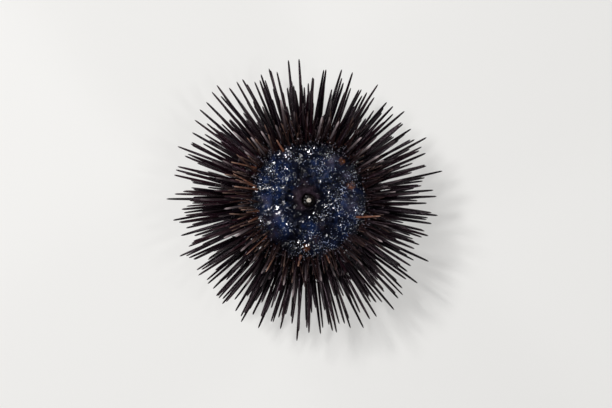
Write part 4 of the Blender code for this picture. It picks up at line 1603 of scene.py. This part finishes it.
def grain_group():
    """The relief of a fine pebbled skin."""
    tree, given, result = new_group(
        "fine_grain", {"Place": "Vector", "Scale": "Float"}, {"Height": "Float"}
    )
    inputs = {"Vector": given["Place"], "Scale": given["Scale"]}
    cells = add_node(tree, "TexVoronoi", inputs, feature="SMOOTH_F1")
    finer = reckon(tree, "MULTIPLY", given["Scale"], GRIT_FINER)
    grit = add_node(tree, "TexNoise", {"Vector": given["Place"], "Scale": finer, "Detail": 2.0})
    rounded = reckon(tree, "SUBTRACT", 1.0, cells.outputs["Distance"])
    tree.links.new(reckon(tree, "MULTIPLY_ADD", grit.outputs["Fac"], 0.5, rounded), result["Height"])
    return tree


def ridges_group():
    """Fine ridges that run along a spine, from its own round-and-along map."""
    tree, given, result = new_group(
        "long_ridges", {"Surface": "Vector", "Ridges": "Float"}, {"Height": "Float"}
    )
    parts = add_node(tree, "SeparateXYZ", {0: given["Surface"]})
    turn = reckon(tree, "MULTIPLY", parts.outputs["X"], given["Ridges"])
    wave = reckon(tree, "SINE", reckon(tree, "MULTIPLY", turn, 2 * math.pi))
    tree.links.new(between(tree, wave, -1.0, 1.0), result["Height"])
    return tree


GROUPS = {"mottle": wet_mottle_group(), "grain": grain_group(), "ridges": ridges_group()}


def use_group(tree, kind, **inputs):
    """One of the shared groups, placed in a material with its own values."""
    made = tree.nodes.new("ShaderNodeGroup")
    made.node_tree = GROUPS[kind]
    feed(tree, made, inputs)
    return made.outputs


def mottled(tree, place, name):
    """The mottle in the tones of that name."""
    scale, *tones = TONES[name]
    dark, light, fleck = (colour(*tone) for tone in tones)
    return use_group(tree, "mottle", Place=place, Scale=scale, Dark=dark, Light=light, Fleck=fleck)


def new_material(name, **constants):
    """A Principled material with its constant sockets set. Returns it, its tree and its shader."""
    material = bpy.data.materials.new(name)
    material.use_nodes = True
    shader = material.node_tree.nodes["Principled BSDF"]
    for label, value in constants.items():
        shader.inputs[label.replace("_", " ")].default_value = value
    return material, material.node_tree, shader


def finish_shader(tree, shader, base, roughness, normal):
    """Links the three sockets that every material here varies."""
    tree.links.new(base, shader.inputs["Base Color"])
    tree.links.new(roughness, shader.inputs["Roughness"])
    tree.links.new(normal, shader.inputs["Normal"])


def horn(name):
    """Ridged horn: near black, browner by the spine's tint, of other tones at its root and tip. The brown
    added on the lit left is painted light, and the paler tip is painted sheen and glints.
    """
    plain, browner, root, tip = (colour(*tone) for tone in HORNS[name])
    material, tree, shader = new_material(
        name, Coat_Weight=0.0, Specular_IOR_Level=0.105, Specular_Tint=colour(*HORN_GLOSS_TINT)
    )
    place = object_place(tree)
    along = attribute(tree, "along")
    noise_inputs = {"Vector": place, "Scale": BLOTCH_SCALE, "Detail": 3.0}
    blotch = add_node(tree, "TexNoise", noise_inputs).outputs["Fac"]
    # The tint: the spine's own brown near the mouth, with painted light added on the lit left side
    tinted = reckon(tree, "MULTIPLY", attribute(tree, "tint"), between(tree, blotch, *BLOTCH_TO_TINT))
    body = mix_colour(tree, tinted, plain, browner)
    rooted = mix_colour(tree, between(tree, along, *ALONG_TO_ROOT), body, root)
    # The pale tip is painted: a sheen along the outer half and a glint at the end
    fading = between(tree, along, *ALONG_TO_PAINTED_SHEEN)
    painted_end_glint = between(tree, along, *ALONG_TO_PAINTED_GLINT)
    painted_sheen_and_glint = reckon(tree, "MULTIPLY", attribute(tree, "tip"), reckon(tree, "ADD", fading, painted_end_glint))
    tipped = mix_colour(tree, painted_sheen_and_glint, rooted, tip)
    surface = add_node(tree, "UVMap", uv_map="Surface").outputs["UV"]
    ridges = use_group(tree, "ridges", Surface=surface, Ridges=RIDGES)["Height"]
    roughness = between(tree, blotch, *BLOTCH_TO_ROUGHNESS)
    finish_shader(tree, shader, tipped, roughness, bump(tree, ridges, RIDGE_DEPTH, RIDGE_STRENGTH))
    return material


def wet_membrane():
    """Wet membrane, lip and skin: blue clouds, the membrane's own blue with painted sky reflection, over
    brown-black, brown by the mouth, under a film of water.
    """
    material, tree, shader = new_material(
        "wet_membrane", Specular_IOR_Level=0.02, Coat_Roughness=0.04, Coat_IOR=1.8
    )
    tree.links.new(attribute(tree, "glitter"), shader.inputs["Coat Weight"])
    place = object_place(tree)
    blue, dark, brown = (mottled(tree, place, name) for name in ("blue", "dark", "brown"))
    blue_and_painted_sky = mix_colour(tree, attribute(tree, "cloud"), dark["Color"], blue["Color"])
    milky = mix_colour(tree, attribute(tree, "milk"), blue_and_painted_sky, colour(*MILK_TONE))
    purple = mix_colour(tree, attribute(tree, "brown"), milky, brown["Color"])
    rusty = mix_colour(tree, attribute(tree, "rust"), purple, colour(*RUST_TONE))
    grain = use_group(tree, "grain", Place=place, Scale=MEMBRANE_GRAIN_SCALE)["Height"]
    relief = reckon(tree, "ADD", blue["Height"], grain)
    roughness = between(tree, blue["Height"], *MEMBRANE_ROUGHNESS)
    finish_shader(tree, shader, rusty, roughness, bump(tree, relief, MEMBRANE_GRAIN))
    return material


def wet_flesh(name):
    """Wet flesh of the small forms: lighter by each one's tint, paler towards its end, finely pebbled. On the
    nippers, skin granules and glint beads the paler end is a painted glint.
    """
    scale, _, light, _ = TONES[name]
    pale_end_and_painted_glint, wetness = WET_FORMS[name]
    material, tree, shader = new_material(
        name, Specular_IOR_Level=0.02, Coat_Weight=wetness, Coat_Roughness=0.05, Coat_IOR=1.6
    )
    place = object_place(tree)
    mottle = mottled(tree, place, name)
    lighter = mix_colour(tree, attribute(tree, "tint"), mottle["Color"], colour(*light))
    paling_and_painted_glint = between(tree, attribute(tree, "along"), *ALONG_TO_PALE_END_AND_PAINTED_GLINT)
    ended = mix_colour(tree, paling_and_painted_glint, lighter, colour(*pale_end_and_painted_glint))
    grain = use_group(tree, "grain", Place=place, Scale=scale * FLESH_GRAIN_FINER)["Height"]
    roughness = between(tree, mottle["Height"], *FLESH_ROUGHNESS)
    finish_shader(tree, shader, ended, roughness, bump(tree, grain, FLESH_GRAIN, FLESH_GRAIN_STRENGTH))
    return material


def plain_flesh(name, depth, **constants):
    """Mottled flesh, tooth or shell: three tones, a fine grain of that depth and an uneven gloss."""
    material, tree, shader = new_material(name, **constants)
    place = object_place(tree)
    mottle = mottled(tree, place, name)
    grain_scale = TONES[name][0] * PLAIN_GRAIN_FINER
    grain = use_group(tree, "grain", Place=place, Scale=grain_scale)["Height"]
    roughness = between(tree, mottle["Height"], *PLAIN_ROUGHNESS)
    normal = bump(tree, grain, depth, PLAIN_GRAIN_STRENGTH)
    finish_shader(tree, shader, mottle["Color"], roughness, normal)
    return material


def dress(piece, material, slot, *nodes):
    """Gives the piece its material, sets it on the body and hides the solids it stands for. The slot is not
    used.
    """
    piece.data.materials.clear()
    piece.data.materials.append(material)
    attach(piece, "root")
    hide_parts(*nodes)


def pale_floor():
    """The plain pale floor, lit a little from within so that it stays pale far out."""
    deselect()
    bpy.ops.mesh.primitive_plane_add(size=FLOOR_SIZE, location=(0, 0, 0))
    floor = named(bpy.context.object, "floor")
    material, _, shader = new_material("pale_floor", Roughness=0.8, Specular_IOR_Level=0.2)
    shader.inputs["Base Color"].default_value = colour(*FLOOR_TONE)
    shader.inputs["Emission Color"].default_value = colour(*FLOOR_GLOW_TONE)
    shader.inputs["Emission Strength"].default_value = FLOOR_GLOW
    floor.data.materials.append(material)


def add_light(name, kind, energy, aim, place, **settings):
    """A light of that kind with its own settings, shining from its place the way it is aimed."""
    lamp = bpy.data.lights.new(name, kind)
    lamp.energy = energy
    for label, value in settings.items():
        setattr(lamp, label, value)
    light = bpy.data.objects.new(name, lamp)
    light.location = place
    light.rotation_euler = aim.to_track_quat("-Z", "Y").to_euler()
    bpy.context.scene.collection.objects.link(light)


def studio():
    """A small bright light from the upper left, a weaker one from the right, low ones all round."""
    animal = Vector((0, 0, AMBITUS_Z))
    for name, place, size, power in STUDIO_LIGHTS:
        add_light(name, "AREA", power, animal - Vector(place), place, size=size)
    for number, (azimuth, strength) in enumerate(LOW_LIGHTS):
        towards = pointing(math.pi / 2 - LOW_LIGHT_HEIGHT, math.radians(azimuth))
        add_light(f"low_light_{number + 1}", "SUN", strength, -towards, towards, angle=LOW_LIGHT_SPREAD)
    world = bpy.data.worlds.new("surround")
    world.use_nodes = True
    background = world.node_tree.nodes["Background"]
    background.inputs["Color"].default_value = colour(*SURROUND_TONE)
    is_seen = add_node(world.node_tree, "LightPath").outputs["Is Camera Ray"]
    strength = between(world.node_tree, is_seen, 0.0, 1.0, SURROUND_GLOW, BACKDROP_GLOW)
    world.node_tree.links.new(strength, background.inputs["Strength"])
    bpy.context.scene.world = world
    bpy.context.scene.view_settings.view_transform = "Standard"


def photo_camera():
    """Above the animal and a little to the left of its axis, with its spines where the photo has them."""
    scale = SPAN / SPINES_WIDTH
    data = bpy.data.cameras.new("camera")
    data.sensor_width = SENSOR_WIDTH
    data.lens = SENSOR_WIDTH * CAMERA_DISTANCE / (PHOTO_WIDTH * scale)
    data.clip_start = NEAREST_SEEN
    data.clip_end = FARTHEST_SEEN
    camera = bpy.data.objects.new("camera", data)
    across = (PHOTO_CENTRE[0] - SPINES_CENTRE[0]) * scale
    up = (SPINES_CENTRE[1] - PHOTO_CENTRE[1]) * scale
    away = Vector((-math.sin(VIEW_TILT), 0, math.cos(VIEW_TILT))) * CAMERA_DISTANCE
    camera.location = Vector((across, up, AMBITUS_Z)) + away
    camera.rotation_euler = (0, -VIEW_TILT, 0)
    bpy.context.scene.collection.objects.link(camera)
    bpy.context.scene.camera = camera


def dress_spines():
    """The long spines, the shorter ones between them and the small ones at the membrane's edge."""
    black_horn = horn("black_horn")
    tan_horn = horn("tan_horn")
    draw = random.Random(FORM_SEED)
    long_ones = spines_piece("long_spines", reaching(long_spines()), black_look(draw))
    dress(long_ones, black_horn, "spine_black", *WEDGES)
    short_ones = spines_piece("short_spines", reaching(filler_spines()), black_look(draw))
    dress(short_ones, black_horn, "spine_black", *WEDGES)
    small_ones = spines_piece("edge_spines", edge_spines(), edge_look(draw), membrane_place)
    dress(small_ones, tan_horn, "spine_black", *WEDGES)


def dress_body(wet_skin):
    """The skin of the test with its granules, tube feet and pedicellariae."""
    foot_flesh = wet_flesh("foot_flesh")
    nipper_flesh_and_painted_glint = wet_flesh("nipper_flesh_and_painted_glint")
    dress(test_skin(), wet_skin, "spine_black", *WEDGES)
    dress(tube_feet(), foot_flesh, "spine_black", *WEDGES)
    # Skin granules and nippers: their pale ends are painted glints
    dress(skin_granules(), nipper_flesh_and_painted_glint, "spine_black", *WEDGES)
    dress(nippers(), nipper_flesh_and_painted_glint, "spine_black", *WEDGES)


def dress_mouth(wet_skin):
    """The membrane with its granules, gills and feet, then lip, jaw flesh and teeth."""
    granule_flesh = wet_flesh("granule_flesh")
    painted_glint_bead = wet_flesh("painted_glint_bead")
    gill_flesh = wet_flesh("gill_flesh")
    buccal_flesh = wet_flesh("buccal_flesh")
    dark_flesh = plain_flesh(
        "dark_flesh", JAW_GRAIN, Specular_IOR_Level=0.1, Coat_Weight=0.3, Coat_Roughness=0.15
    )
    enamel = plain_flesh("enamel", ENAMEL_GRAIN, Coat_Weight=0.8, Coat_Roughness=0.08)
    dress(mouth_membrane(), wet_skin, "membrane_blue", "peristome_membrane")
    granules = granules_piece(
        "membrane_granules", GRANULES, CLOUDS, GRANULES_EVERYWHERE, GRANULE_WIDTH, GRANULE_TINT, 0
    )
    dress(granules, granule_flesh, "membrane_blue", "peristome_membrane")
    # Pale beads that paint glints of light on the membrane
    glints = granules_piece("painted_glint_beads", GLINTS, GLITTER, GLINTS_EVERYWHERE, GLINT_WIDTH, GLINT_TINT, 1)
    dress(glints, painted_glint_bead, "membrane_blue", "peristome_membrane")
    dress(gill_tufts(), gill_flesh, "membrane_blue", "peristome_membrane")
    dress(buccal_feet(), buccal_flesh, "membrane_blue", "peristome_membrane")
    dress(lip(), wet_skin, "lip_brown", "mouth_lip")
    dress(jaw_flesh(), dark_flesh, "lip_brown", "lantern_and_teeth")
    dress(teeth(), enamel, "tooth_ivory", "lantern_and_teeth")


def dress_lower_pole():
    """The base disc, the five genital and five ocular plates, and the four valves over the anus."""
    shell = plain_flesh(
        "shell_plate", SHELL_GRAIN, Specular_IOR_Level=0.12, Coat_Weight=0.06, Coat_Roughness=0.25
    )
    rings = [plates_piece(plates) for plates in PLATE_RINGS]
    for piece in (apical_base(), *rings):
        dress(piece, shell, "plate_brown", "apical_disc")


photo_camera()
studio()
pale_floor()
wet_skin = wet_membrane()
dress_spines()
dress_body(wet_skin)
dress_mouth(wet_skin)
dress_lower_pole()
